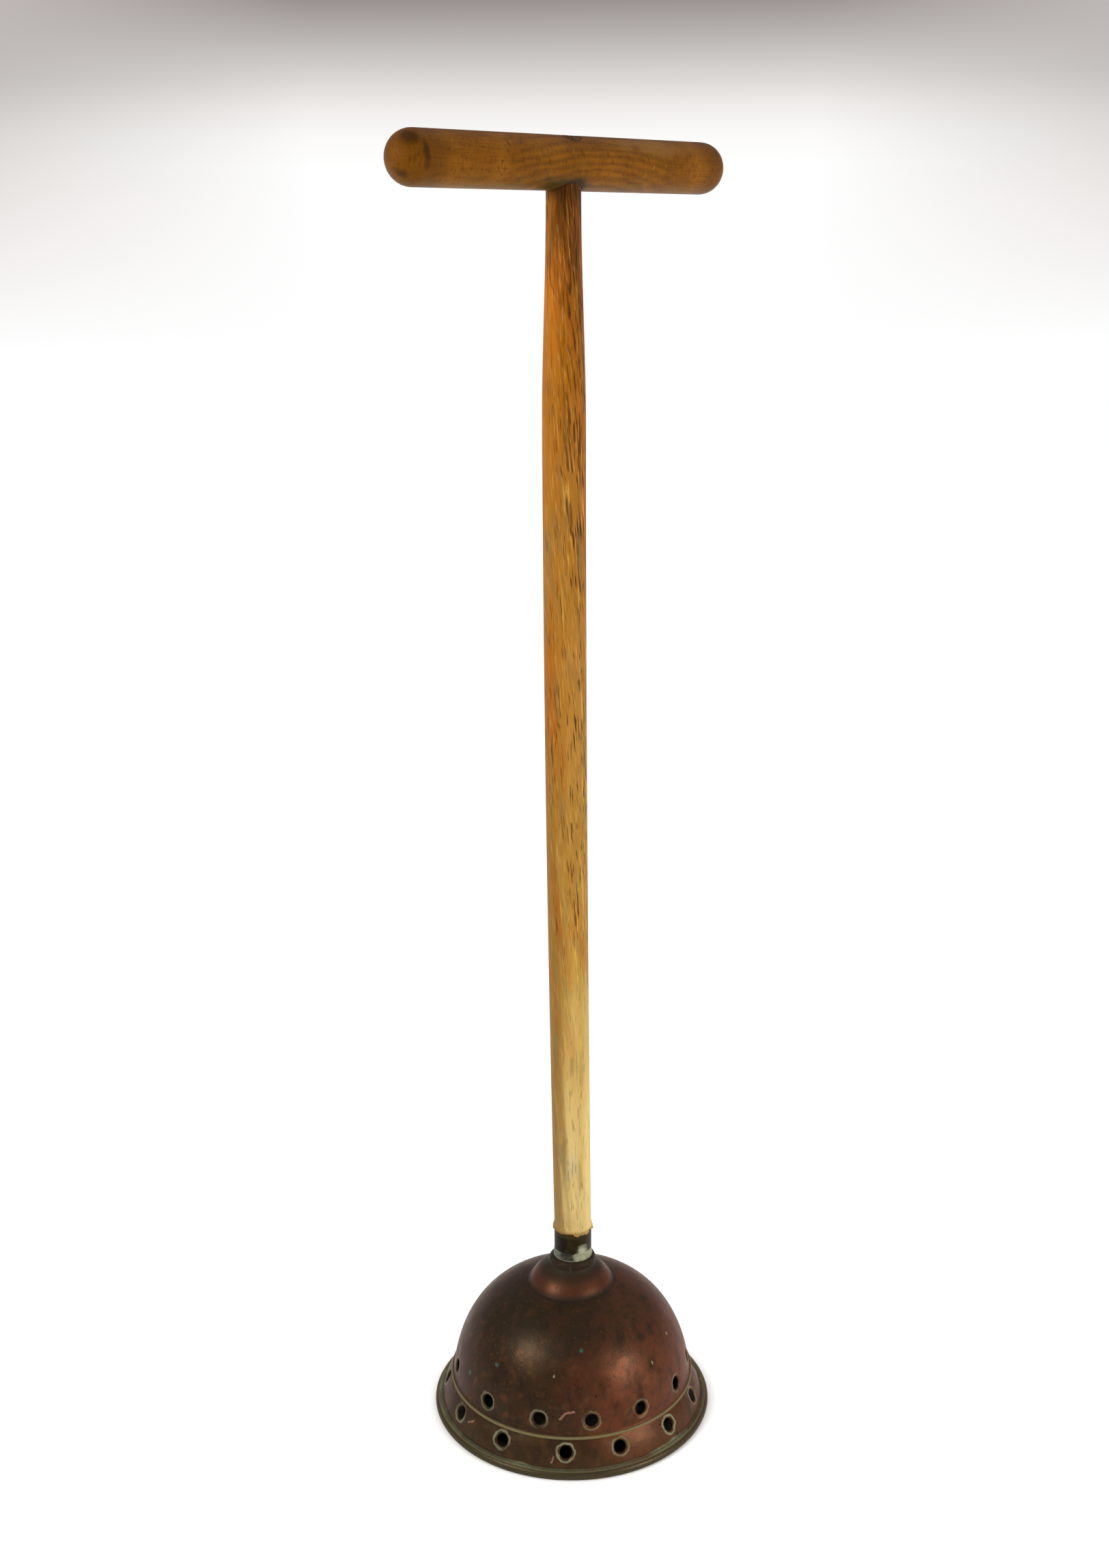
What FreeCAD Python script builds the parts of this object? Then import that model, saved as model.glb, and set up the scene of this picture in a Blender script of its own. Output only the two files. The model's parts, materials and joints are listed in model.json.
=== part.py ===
"""Laundry posser: a copper bell head on an ash shaft with a crossbar grip.

The bell stands on its rolled rim. Z is up, the crossbar lies along X and the
origin is the middle of the rim's footprint. Lengths are in millimetres.
"""
import FreeCAD
import Part
import math
import os

Vector = FreeCAD.Vector
ORIGIN = Vector(0, 0, 0)
UP = Vector(0, 0, 1)
ALONG_BAR = Vector(1, 0, 0)
BEYOND = 1.5                        # how far a cutting tool runs past what it cuts
DOME_STEPS = 9                      # stretches between the points that set the dome's curve
TAPER_STEPS = 5                     # the same for the shaft's taper

# Copper sheet and its fits
sheet_thickness = 0.8
fit_clearance = 0.05                # radial gap of every seated or soldered fit
solder_feather = 0.2                # edge that a run of solder thins out to
solder_hollow = 0.4                 # how far the face of a solder fillet sinks in

# Rolled rim and skirt
rim_diameter = 190.0
rim_wire_diameter = 4.3
rim_wear_depth = 0.5                # flat worn under the rolled rim
skirt_bulge = 1.2                   # how far the skirt swells past a straight cone
skirt_landing_angle = 125.0         # where the skirt meets the roll, from straight out

# Seam between the skirt and the dome
seam_diameter = 164.2
seam_height = 23.6                  # middle of the plate that the seam clamps
seam_lip = 1.0
skirt_flange_width = 4.0
seam_fillet_leg = 2.6               # soft solder run into the seam's inner corner

# Dome
dome_crown_height = 94.8            # where the dome's curve would meet the axis
dome_widest_drop = 26.3             # widest level of that curve, below the seam
dome_squareness = 2.54              # 2 would be an ellipse

# Raised boss and neck on the crown
boss_diameter = 56.8
boss_rise = 13.4                    # from where the boss leaves the dome to the neck
boss_bulge = 2.2
neck_diameter = 31.4
neck_rise = 6.1
neck_rounding = 2.2
crease_fillet = 1.2

# Punched holes, one row in the skirt and one in the dome
holes_per_row = 14
hole_bore_diameter = 8.2
hole_mouth_diameter = 13.8
hole_draw_depth = 2.4
skirt_hole_height = 15.8
dome_hole_height = 34.5
skirt_row_angle = 19.2              # first hole of the lower row, from +X
dome_row_angle = 6.3                # first hole of the upper row, half a step back

# Perforated plate inside the bell
baffle_rise = 20.0
baffle_bulge = 3.5
baffle_flange_width = 5.0
baffle_centre_diameter = 30.0
baffle_collar_height = 4.0
baffle_hole_diameter = 8.0
baffle_hole_circle = 98.0
baffle_hole_count = 12

# Socket on the crown
socket_diameter = 25.2
socket_wall = 1.0
socket_depth = 34.0                 # below the neck's top
socket_stand = 21.2                 # above the neck's top
collar_foot_width = 1.4
collar_height = 3.6
nail_diameter = 2.2
nail_length = 11.0
nail_head_diameter = 5.2
nail_head_height = 1.3
nail_drop = 10.6                    # below the socket's top
nail_angle = 47.0                   # on the side away from the viewer

# Ash shaft
shaft_foot_diameter = 24.9
shaft_belly_diameter = 26.5
shaft_tenon_diameter = 20.6
shaft_belly_height = 560.0
shaft_swell = 0.15                  # how far the lower half swells past a straight taper
shaft_taper_length = 138.0          # from full thickness up to the crossbar

# Crossbar grip
bar_diameter = 30.7
bar_length = 254.0
bar_height = 818.0                  # axis of the crossbar
bar_end_flat = 1.5                  # worn flat in the middle of each rounded end

# Wedge that spreads the tenon
wedge_thickness = 2.8
wedge_tip_thickness = 1.0
wedge_depth = 23.0

# Derived sizes
rim_roll_radius = rim_wire_diameter / 2 + fit_clearance + sheet_thickness
rim_roll_circle = rim_diameter / 2 - rim_roll_radius
rim_roll_height = rim_roll_radius - rim_wear_depth
seam_radius = seam_diameter / 2
seam_lip_radius = seam_radius + seam_lip
plate_top = seam_height + sheet_thickness / 2
plate_foot = seam_height - sheet_thickness / 2
dome_widest_height = seam_height - dome_widest_drop
dome_rise = dome_crown_height - dome_widest_height
neck_radius = neck_diameter / 2
boss_radius = boss_diameter / 2
socket_radius = socket_diameter / 2
tenon_radius = shaft_tenon_diameter / 2
bar_radius = bar_diameter / 2


def at(radius, height):
    """Return a point of a turned outline, at a radius and a height."""
    return Vector(radius, 0, height)


def line(*points):
    """Return straight edges through the points in turn."""
    return [Part.LineSegment(a, b).toShape() for a, b in zip(points, points[1:])]


def arc(start, middle, end):
    """Return one circular edge through three points."""
    return [Part.Arc(start, middle, end).toShape()]


def spline(points):
    """Return one smooth edge through the points."""
    curve = Part.BSplineCurve()
    curve.interpolate(points)
    return [curve.toShape()]


def turned(edges, centre=ORIGIN, axis=UP):
    """Turn a closed outline into a solid of revolution."""
    face = Part.Face(Part.Wire(Part.__sortEdges__(edges)))
    return face.revolve(centre, axis, 360)


def bulged_middle(start, end, bulge):
    """Return the chord's middle, pushed by bulge to the side that faces out and up."""
    chord = end - start
    normal = Vector(-chord.z, 0, chord.x).normalize()
    if normal.x < 0:
        normal = normal * -1
    return (start + end) * 0.5 + normal * bulge


def circle_through(start, middle, end):
    """Return the centre and radius of the circle through three points of an outline."""
    circle = Part.Arc(start, middle, end).toShape().Curve
    return circle.Center, circle.Radius


def around(shape, count, first_angle):
    """Return copies of a shape, evenly spaced about the vertical axis."""
    copies = []
    for index in range(count):
        copy = shape.copy()
        copy.rotate(ORIGIN, UP, first_angle + index * 360 / count)
        copies.append(copy)
    return copies


# The dome's curve

def dome_half_width(inset):
    """Return the curve's widest radius, drawn in by inset."""
    level = (dome_widest_drop / dome_rise) ** dome_squareness
    return seam_radius / (1 - level) ** (1 / dome_squareness) - inset


def dome_point(angle, inset):
    """Return a point of the dome's curve: 0 is its widest level, 90 its crown."""
    power = 2 / dome_squareness
    turn = math.radians(angle)
    radius = dome_half_width(inset) * math.cos(turn) ** power
    height = dome_widest_height + (dome_rise - inset) * math.sin(turn) ** power
    return at(radius if angle < 90 else 0, height)


def dome_angle(height, inset):
    """Return the curve's angle at a height."""
    level = (height - dome_widest_height) / (dome_rise - inset)
    return math.degrees(math.asin(level ** (dome_squareness / 2)))


def dome_height(radius):
    """Return the height of the dome's outside at a radius."""
    level = 1 - (radius / dome_half_width(0)) ** dome_squareness
    return dome_widest_height + dome_rise * level ** (1 / dome_squareness)


# Heights stacked up from the dome
boss_foot_height = dome_height(boss_radius)
neck_foot_height = boss_foot_height + boss_rise
neck_top_height = neck_foot_height + neck_rise
socket_foot_height = neck_top_height - socket_depth
socket_top_height = neck_top_height + socket_stand
nail_height = socket_top_height - nail_drop


def dome_body(inset, foot_height):
    """Return the solid under the dome's curve, from foot_height to the crown."""
    first = dome_angle(foot_height, inset)
    angles = [first + (90 - first) * index / DOME_STEPS for index in range(DOME_STEPS + 1)]
    points = [dome_point(angle, inset) for angle in angles]
    crown = points[-1]
    foot = at(points[0].x, foot_height)
    points[0] = foot
    return turned(spline(points) + line(crown, at(0, foot_height), foot))


def boss_body(inset):
    """Return the bulging boss on the crown, with its foot inside the dome."""
    top = at(neck_radius, neck_foot_height)
    foot = at(boss_radius, boss_foot_height)
    centre, radius = circle_through(top, bulged_middle(top, foot, boss_bulge), foot)
    radius -= inset
    turn = math.acos((neck_radius - inset - centre.x) / radius)
    start = centre + at(radius * math.cos(turn), radius * math.sin(turn))
    middle = centre + at(radius * math.cos(turn / 2), radius * math.sin(turn / 2))
    end = centre + at(radius, 0)
    edges = arc(start, middle, end)
    return turned(edges + line(end, at(0, end.z), at(0, start.z), start))


def neck_body(inset):
    """Return the short round-shouldered neck on top of the boss."""
    radius = neck_radius - inset
    top = neck_top_height - inset
    rounding = neck_rounding - inset
    bend = rounding * (1 - math.sqrt(0.5))
    foot = (boss_foot_height + neck_foot_height) / 2
    edges = line(at(0, foot), at(radius, foot), at(radius, top - rounding))
    edges += arc(at(radius, top - rounding), at(radius - bend, top - bend), at(radius - rounding, top))
    return turned(edges + line(at(radius - rounding, top), at(0, top), at(0, foot)))


def dome_skin(inset, foot_height):
    """Return the dome with its boss and neck as one solid, drawn in by inset."""
    skin = dome_body(inset, foot_height).multiFuse([boss_body(inset), neck_body(inset)])
    skin = skin.removeSplitter()
    low = boss_foot_height - 2 * sheet_thickness
    high = neck_foot_height + sheet_thickness
    creases = []
    for edge in skin.Edges:
        box = edge.BoundBox
        if box.ZLength < 0.01 and low < box.ZMin < high and box.XLength > neck_diameter / 2:
            creases.append(edge)
    return skin.makeFillet(crease_fillet + inset, creases)


# Punched holes

def hole_cone(centre, normal, thickness, deeper):
    """Return one drawn-in cone: the hole's face at thickness 0, or the sheet's back."""
    slope = (hole_mouth_diameter - hole_bore_diameter) / 2 / hole_draw_depth
    back = thickness * math.sqrt(1 + slope ** 2)
    depth = hole_draw_depth + deeper
    inner = hole_bore_diameter / 2 - slope * deeper + back
    outer = hole_mouth_diameter / 2 + slope * BEYOND + back
    return Part.makeCone(inner, outer, depth + BEYOND, centre - normal * depth, normal)


def punched(skin, hollow, centre, normal, first_angle):
    """Hollow a skin, leaving a sheet with a row of drawn-in holes round it."""
    backs = around(hole_cone(centre, normal, sheet_thickness, 0), holes_per_row, first_angle)
    faces = around(hole_cone(centre, normal, 0, sheet_thickness), holes_per_row, first_angle)
    sheet = skin.cut(hollow.cut(Part.makeCompound(backs)))
    return sheet.cut(Part.makeCompound(faces))


def ring(inner, outer, foot, top):
    """Return a flat ring between two radii and two heights."""
    edges = line(at(inner, foot), at(outer, foot), at(outer, top), at(inner, top), at(inner, foot))
    return turned(edges)


# The bell

def make_bell_dome():
    """Spin the dome, punch its row of holes and turn out its lower lip."""
    angle = dome_angle(dome_hole_height, 0)
    centre = dome_point(angle, 0)
    run = dome_point(angle + 1, 0) - dome_point(angle - 1, 0)
    normal = Vector(run.z, 0, -run.x).normalize()
    skin = dome_skin(0, plate_top)
    hollow = dome_skin(sheet_thickness, plate_top - BEYOND)
    sheet = punched(skin, hollow, centre, normal, dome_row_angle)
    lip = ring(seam_radius - sheet_thickness / 2, seam_lip_radius, plate_top, plate_top + sheet_thickness)
    bore_radius = socket_radius + fit_clearance
    bore = Part.makeCylinder(bore_radius, neck_top_height, at(0, boss_foot_height))
    return sheet.fuse(lip).cut(bore)


def skirt_curve(inset):
    """Return the skirt's upper end, middle and landing on the roll, drawn in by inset."""
    top = at(seam_radius, plate_foot)
    turn = math.radians(skirt_landing_angle)
    landing_radius = rim_roll_radius - sheet_thickness / 2
    landing = at(rim_roll_circle, rim_roll_height)
    landing = landing + at(landing_radius * math.cos(turn), landing_radius * math.sin(turn))
    middle = bulged_middle(top, landing, skirt_bulge)
    centre, radius = circle_through(top, middle, landing)
    return [centre + (point - centre) * ((radius - inset) / radius) for point in (top, middle, landing)]


def skirt_body(inset, foot, top):
    """Return the solid inside the skirt's curve, closed at the foot and top heights."""
    upper, middle, landing = skirt_curve(inset)
    edges = arc(upper, middle, landing)
    edges += line(landing, at(landing.x, foot), at(0, foot), at(0, top), at(upper.x, top))
    if top > upper.z:
        edges += line(at(upper.x, top), upper)
    return turned(edges)


def rim_torus(radius):
    """Return a round ring along the rim's roll."""
    return Part.makeTorus(rim_roll_circle, radius, at(0, rim_roll_height))


def make_bell_skirt():
    """Flare the skirt, punch its row of holes and roll its edge round the wire."""
    top, middle, landing = skirt_curve(0)
    centre, radius = circle_through(top, middle, landing)
    lift = skirt_hole_height - centre.z
    out = math.sqrt(radius ** 2 - lift ** 2)
    normal = at(out, lift).normalize()
    hole_centre = centre + at(out, lift)
    roll = rim_torus(rim_roll_radius)
    skin = skirt_body(0, rim_roll_height, plate_foot).fuse(roll)
    hollow = skirt_body(sheet_thickness, -BEYOND, plate_foot + BEYOND).cut(roll)
    sheet = punched(skin, hollow, hole_centre, normal, skirt_row_angle)
    flange_inner = seam_radius - skirt_flange_width
    flange = ring(flange_inner, seam_lip_radius, plate_foot - sheet_thickness, plate_foot)
    channel = rim_torus(rim_wire_diameter / 2 + fit_clearance)
    under = Part.makeCylinder(rim_diameter, rim_diameter, at(0, -rim_diameter))
    return sheet.fuse(flange).cut(channel).cut(under)


def make_rim_wire():
    """Bend the iron wire that the rim is rolled over."""
    return rim_torus(rim_wire_diameter / 2)


def make_baffle():
    """Dish the perforated plate whose edge the seam clamps."""
    inner = baffle_centre_diameter / 2
    dish = seam_radius - baffle_flange_width
    foot = at(dish, plate_foot)
    top = at(inner + sheet_thickness, plate_foot + baffle_rise)
    middle = bulged_middle(foot, top, baffle_bulge)
    lift = Vector(0, 0, sheet_thickness)
    collar_top = top.z + sheet_thickness + baffle_collar_height
    edges = arc(foot, middle, top)
    edges += line(top, at(inner, top.z), at(inner, collar_top), at(top.x, collar_top), top + lift)
    edges += arc(top + lift, middle + lift, foot + lift)
    edges += line(foot + lift, at(seam_lip_radius, plate_top), at(seam_lip_radius, plate_foot), foot)
    plate = turned(edges)
    drill_foot = at(baffle_hole_circle / 2, plate_foot)
    drill = Part.makeCylinder(baffle_hole_diameter / 2, 2 * baffle_rise, drill_foot)
    return plate.cut(Part.makeCompound(around(drill, baffle_hole_count, 0)))


def make_seam_solder():
    """Run soft solder into the corner between the baffle and the dome's wall."""
    foot = plate_top + fit_clearance
    top = foot + seam_fillet_leg
    wall = dome_point(dome_angle(top, sheet_thickness), sheet_thickness).x - fit_clearance
    inner = wall - seam_fillet_leg
    upper = at(wall - solder_feather, top)
    lower = at(inner, foot + solder_feather)
    edges = arc(upper, bulged_middle(upper, lower, solder_hollow), lower)
    edges += line(lower, at(inner, foot), at(wall, foot), at(wall, top), upper)
    return turned(edges)


# The socket

def nail_hole():
    """Return the hole for the nail, from the socket's outside to the nail's point."""
    radius = nail_diameter / 2 + fit_clearance
    length = nail_length + fit_clearance + BEYOND
    start = at(socket_radius - nail_length - fit_clearance, nail_height)
    hole = Part.makeCylinder(radius, length, start, ALONG_BAR)
    hole.rotate(ORIGIN, UP, nail_angle)
    return hole


def make_socket_tube():
    """Draw the tube that stands in the bell's neck and takes the shaft."""
    tube = ring(socket_radius - socket_wall, socket_radius, socket_foot_height, socket_top_height)
    return tube.cut(nail_hole())


def make_solder_collar():
    """Run the solder that seals the socket to the top of the neck."""
    inner = socket_radius + fit_clearance
    foot = neck_top_height + fit_clearance
    top = foot + collar_height
    outer = inner + collar_foot_width
    upper = at(inner + solder_feather, top)
    lower = at(outer, foot + solder_feather)
    edges = arc(upper, bulged_middle(upper, lower, -solder_hollow), lower)
    edges += line(lower, at(outer, foot), at(inner, foot), at(inner, top), upper)
    return turned(edges)


def make_socket_nail():
    """Drive the nail that keeps the shaft in its socket."""
    seat = at(socket_radius + fit_clearance, nail_height)
    shank = nail_diameter / 2
    head = nail_head_diameter / 2
    tip = seat - Vector(nail_length, 0, 0)
    neck = tip + Vector(2 * nail_diameter, 0, 0)
    crown_radius = (head ** 2 + nail_head_height ** 2) / (2 * nail_head_height)
    crown_centre = seat + Vector(nail_head_height - crown_radius, 0, 0)
    half = math.asin(head / crown_radius) / 2
    middle = crown_centre + Vector(math.cos(half), 0, math.sin(half)) * crown_radius
    crown = seat + Vector(nail_head_height, 0, 0)
    rise = Vector(0, 0, 1)
    edges = line(tip, tip + rise * shank / 4, neck + rise * shank, seat + rise * shank, seat + rise * head)
    edges += arc(seat + rise * head, middle, crown)
    nail = turned(edges + line(crown, tip), seat, ALONG_BAR)
    nail.rotate(ORIGIN, UP, nail_angle)
    return nail


# Shaft, crossbar and wedge

def bar_cylinder():
    """Return the crossbar's round, for trimming what ends flush with it."""
    return Part.makeCylinder(bar_radius, bar_length, Vector(-bar_length / 2, 0, bar_height), ALONG_BAR)


def flush_with_bar(shape):
    """Trim a shape's top to the crossbar's round."""
    corner = Vector(-bar_radius, -bar_diameter, bar_height)
    block = Part.makeBox(bar_diameter, 2 * bar_diameter, bar_diameter, corner)
    return shape.cut(block.cut(bar_cylinder()))


def taper_radius(share):
    """Return the shaft's radius a share of the way up its taper."""
    belly = shaft_belly_diameter / 2
    ease = share ** 2 * (3 - 2 * share)
    return belly + (tenon_radius - belly) * ease


def wedge(gap):
    """Return the wedge across the tenon, grown by gap on its faces."""
    top = bar_height + bar_radius
    tip = top - wedge_depth - gap
    half_tip = wedge_tip_thickness / 2 + gap
    slope = (wedge_thickness - wedge_tip_thickness) / 2 / wedge_depth
    half_top = half_tip + slope * (wedge_depth + gap + BEYOND)
    corners = [at(-half_tip, tip), at(half_tip, tip), at(half_top, top + BEYOND), at(-half_top, top + BEYOND)]
    face = Part.Face(Part.Wire(line(*corners, corners[0])))
    half_width = Vector(0, tenon_radius + BEYOND, 0)
    face.translate(-half_width)
    return face.extrude(half_width * 2)


def make_shaft():
    """Turn the ash shaft, with its foot in the socket and its tenon in the crossbar."""
    seat = socket_radius - socket_wall - fit_clearance
    foot_radius = shaft_foot_diameter / 2
    taper_top = bar_height - bar_radius
    taper_foot = taper_top - shaft_taper_length
    top = bar_height + bar_radius
    belly = at(shaft_belly_diameter / 2, shaft_belly_height)
    foot = at(foot_radius, socket_top_height)
    points = [foot, foot * 0.5 + belly * 0.5 + at(shaft_swell, 0), belly]
    for index in range(TAPER_STEPS + 1):
        share = index / TAPER_STEPS
        points.append(at(taper_radius(share), taper_foot + shaft_taper_length * share))
    end = at(0, socket_foot_height)
    edges = line(end, at(seat, socket_foot_height), at(seat, socket_top_height), points[0])
    edges += spline(points)
    edges += line(points[-1], at(tenon_radius, top), at(0, top), end)
    shaft = turned(edges)
    return flush_with_bar(shaft).cut(wedge(fit_clearance)).cut(nail_hole())


def make_tenon_wedge():
    """Cut the wedge that spreads the tenon, across the crossbar's grain."""
    tenon = Part.makeCylinder(tenon_radius, bar_diameter, at(0, bar_height - bar_radius))
    return flush_with_bar(wedge(0).common(tenon))


def make_crossbar():
    """Turn the crossbar, round its ends and bore it for the tenon."""
    half = bar_length / 2
    flat = bar_end_flat / 2
    rounding = bar_radius - flat
    bend = rounding * (1 - math.sqrt(0.5))
    centre = at(0, bar_height)
    side = Vector(half - rounding, 0, bar_height + bar_radius)
    middle = Vector(half - bend, 0, bar_height + bar_radius - bend)
    end = Vector(half, 0, bar_height + flat)
    edges = arc(side, middle, end) + line(end, Vector(half, 0, bar_height), Vector(-half, 0, bar_height))
    far_end = Vector(-half, 0, end.z)
    far_side = Vector(-side.x, 0, side.z)
    edges += line(Vector(-half, 0, bar_height), far_end)
    edges += arc(far_end, Vector(-middle.x, 0, middle.z), far_side) + line(far_side, side)
    bore = Part.makeCylinder(tenon_radius + fit_clearance, 2 * bar_diameter, at(0, bar_height - bar_diameter))
    return turned(edges, centre, ALONG_BAR).cut(bore)


PIECES = {
    "crossbar": make_crossbar,
    "tenon_wedge": make_tenon_wedge,
    "shaft": make_shaft,
    "socket_tube": make_socket_tube,
    "socket_nail": make_socket_nail,
    "solder_collar": make_solder_collar,
    "bell_dome": make_bell_dome,
    "seam_solder": make_seam_solder,
    "baffle": make_baffle,
    "bell_skirt": make_bell_skirt,
    "rim_wire": make_rim_wire,
}

os.makedirs("parts", exist_ok=True)
for name, make in PIECES.items():
    shape = make()
    shape.exportStep("parts/" + name + ".step")
    box = shape.BoundBox
    print(name, "solids", len(shape.Solids), "valid", shape.isValid(), "volume", round(shape.Volume, 1),
          "box", [round(value, 2) for value in (box.XMin, box.YMin, box.ZMin, box.XMax, box.YMax, box.ZMax)])
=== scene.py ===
"""Looks of an old laundry posser: a brown copper bell head on an ash shaft with a crossbar grip.

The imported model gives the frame. Sizes are in millimetres and are turned to metres by mm().
"""
import json
import logging
import math
import random
from collections.abc import Callable, Iterator
from contextlib import contextmanager
from dataclasses import dataclass
from enum import Enum

import bmesh
import bpy
from mathutils import Matrix, Vector

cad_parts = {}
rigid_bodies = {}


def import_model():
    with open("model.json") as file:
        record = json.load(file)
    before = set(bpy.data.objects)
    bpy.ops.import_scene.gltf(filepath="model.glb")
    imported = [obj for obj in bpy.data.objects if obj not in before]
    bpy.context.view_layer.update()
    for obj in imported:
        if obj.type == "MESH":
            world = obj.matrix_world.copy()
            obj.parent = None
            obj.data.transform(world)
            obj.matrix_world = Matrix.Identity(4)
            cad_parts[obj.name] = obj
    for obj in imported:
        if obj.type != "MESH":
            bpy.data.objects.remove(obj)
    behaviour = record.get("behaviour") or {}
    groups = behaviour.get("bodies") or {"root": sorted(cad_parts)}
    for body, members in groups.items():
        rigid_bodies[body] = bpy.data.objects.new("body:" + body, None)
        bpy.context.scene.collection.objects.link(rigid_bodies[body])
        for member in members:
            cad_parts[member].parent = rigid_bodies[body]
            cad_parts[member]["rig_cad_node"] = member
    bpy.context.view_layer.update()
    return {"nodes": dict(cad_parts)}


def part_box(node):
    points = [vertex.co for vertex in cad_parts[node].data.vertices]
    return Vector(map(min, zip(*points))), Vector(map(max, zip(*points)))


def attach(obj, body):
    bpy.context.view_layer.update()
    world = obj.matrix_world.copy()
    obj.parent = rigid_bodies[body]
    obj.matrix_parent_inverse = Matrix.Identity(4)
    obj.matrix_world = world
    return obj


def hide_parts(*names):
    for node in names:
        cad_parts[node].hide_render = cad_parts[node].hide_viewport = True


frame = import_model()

MM = 0.001
ORIGIN = (0.0, 0.0, 0.0)
UP = (0.0, 0.0, 1.0)
ALONG_BAR = (1.0, 0.0, 0.0)
WELD = 0.01 * MM
LIT_SIDE = Vector((0.7357, -0.6772, 0.0))       # the side that catches the nearer lamp
FOOT_LEAN = 1.5                                 # how far the socket and shaft foot stand to that side
LOG = logging.getLogger("posser")
Outline = list[tuple[float, float]]
Point = tuple[float, float, float]
Pairs = tuple[tuple[float, float], ...]
Stops = tuple[tuple[float, str], ...]
Piece = bpy.types.Object
Material = bpy.types.Material
Socket = bpy.types.NodeSocket
Inputs = dict[str, Socket | float | str]
Outputs = bpy.types.bpy_prop_collection


def mm(*values: float) -> Vector:
    """Return a point given in millimetres as a vector in metres."""
    return Vector(values) * MM


def polar(radius: float, azimuth: float, height: float) -> Vector:
    """Return the point in metres at a radius, an azimuth in radians and a height in millimetres."""
    return mm(radius * math.cos(azimuth), radius * math.sin(azimuth), height)


def box_mm(node: str) -> tuple[Vector, Vector]:
    """Return a frame node's lowest and highest corners in millimetres."""
    low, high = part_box(node)
    return low / MM, high / MM


def eased(value: float) -> float:
    """Return a value held between 0 and 1 and eased at both ends."""
    held = min(max(value, 0.0), 1.0)
    return held ** 2 * (3 - 2 * held)


def linspace(start: float, end: float, count: int) -> list[float]:
    """Return count evenly spaced values after start, up to and with end."""
    return [start + (end - start) * step / count for step in range(1, count + 1)]


def linear(colour: str) -> tuple[float, float, float, float]:
    """Turn an sRGB hex colour into linear red, green, blue and alpha.

    Args:
        colour: six hex digits after a hash.

    Returns:
        The four linear channels.
    """
    channels = [int(colour[place:place + 2], 16) / 255 for place in (1, 3, 5)]
    straight = [value / 12.92 if value <= 0.04045 else ((value + 0.055) / 1.055) ** 2.4 for value in channels]
    return (*straight, 1.0)


# Edit-mode helpers

class Pick(Enum):
    """What a selection is made of."""

    VERTICES = "VERT"
    FACES = "FACE"


def pick_object(piece: Piece) -> None:
    """Make one piece the only selected object, and the active one."""
    bpy.ops.object.select_all(action="DESELECT")
    piece.select_set(True)
    bpy.context.view_layer.objects.active = piece


@contextmanager
def editing(piece: Piece, action: str = "DESELECT") -> Iterator[None]:
    """Open one piece in edit mode, and close it again.

    Args:
        piece: the object.
        action: DESELECT starts with nothing selected and SELECT with everything.
    """
    pick_object(piece)
    bpy.ops.object.mode_set(mode="EDIT")
    bpy.ops.mesh.select_mode(type="VERT")
    bpy.ops.mesh.select_all(action=action)
    yield
    bpy.ops.object.mode_set(mode="OBJECT")


def select(piece: Piece, pick: Pick, wanted: Callable[[Vector], bool]) -> None:
    """Select the elements of the edited piece whose middle is wanted.

    Args:
        piece: the object in edit mode.
        pick: vertices or faces.
        wanted: a test of the element's middle, in millimetres.
    """
    bpy.ops.mesh.select_mode(type=pick.value)
    bpy.ops.mesh.select_all(action="DESELECT")
    mesh = bmesh.from_edit_mesh(piece.data)
    if pick is Pick.VERTICES:
        middles = [(vertex, vertex.co) for vertex in mesh.verts]
    else:
        middles = [(face, face.calc_center_median()) for face in mesh.faces]
    for element, middle in middles:
        if wanted(middle / MM):
            element.select_set(True)
    mesh.select_flush_mode()
    bmesh.update_edit_mesh(piece.data)


def new_piece(name: str, shape: str, **settings: object) -> Piece:
    """Deselect everything, add one of the basic shapes and name it.

    Args:
        name: the new piece's name.
        shape: plane, circle, cylinder or torus.
        **settings: the shape's sizes and place.

    Returns:
        The new piece.
    """
    bpy.ops.object.select_all(action="DESELECT")
    getattr(bpy.ops.mesh, f"primitive_{shape}_add")(**settings)
    piece = bpy.context.object
    piece.name = name
    piece.data.name = name
    return piece


def stretch_on(move: Vector, scale: tuple[float, float, float], centre: Vector) -> None:
    """Extrude the selected ring, then scale it.

    Args:
        move: how far the new ring goes, in metres.
        scale: how many times each axis is multiplied.
        centre: the point that stays, in metres.
    """
    bpy.ops.mesh.extrude_region_move(TRANSFORM_OT_translate={"value": move})
    bpy.ops.transform.resize(value=scale, center_override=centre)


def draw_chain(name: str, points: list[Vector]) -> Piece:
    """Draw an open chain of edges by extruding one vertex from point to point.

    Args:
        name: the new piece's name.
        points: the chain's points, in metres.

    Returns:
        The new piece.
    """
    piece = new_piece(name, "plane", size=MM, location=ORIGIN)
    with editing(piece, "SELECT"):
        bpy.ops.mesh.merge(type="CENTER")
        bpy.ops.transform.translate(value=points[0])
        for start, end in zip(points, points[1:]):
            bpy.ops.mesh.extrude_region_move(TRANSFORM_OT_translate={"value": end - start})
    return piece


def close_up() -> None:
    """Merge the doubles of the edited piece and turn its faces outwards."""
    bpy.ops.mesh.select_all(action="SELECT")
    bpy.ops.mesh.remove_doubles(threshold=WELD)
    bpy.ops.mesh.normals_make_consistent(inside=False)


def turn(name: str, outline: Outline, steps: int) -> Piece:
    """Spin a closed outline of radius and height once round the vertical axis.

    Args:
        name: the new piece's name.
        outline: points of radius and height, in order.
        steps: how many columns the full turn has.

    Returns:
        The turned piece.
    """
    piece = draw_chain(name, [polar(radius, 0, height) for radius, height in outline + outline[:1]])
    with editing(piece, "SELECT"):
        bpy.ops.mesh.spin(steps=steps, angle=-math.tau, center=ORIGIN, axis=UP)
        close_up()
    return piece


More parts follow.
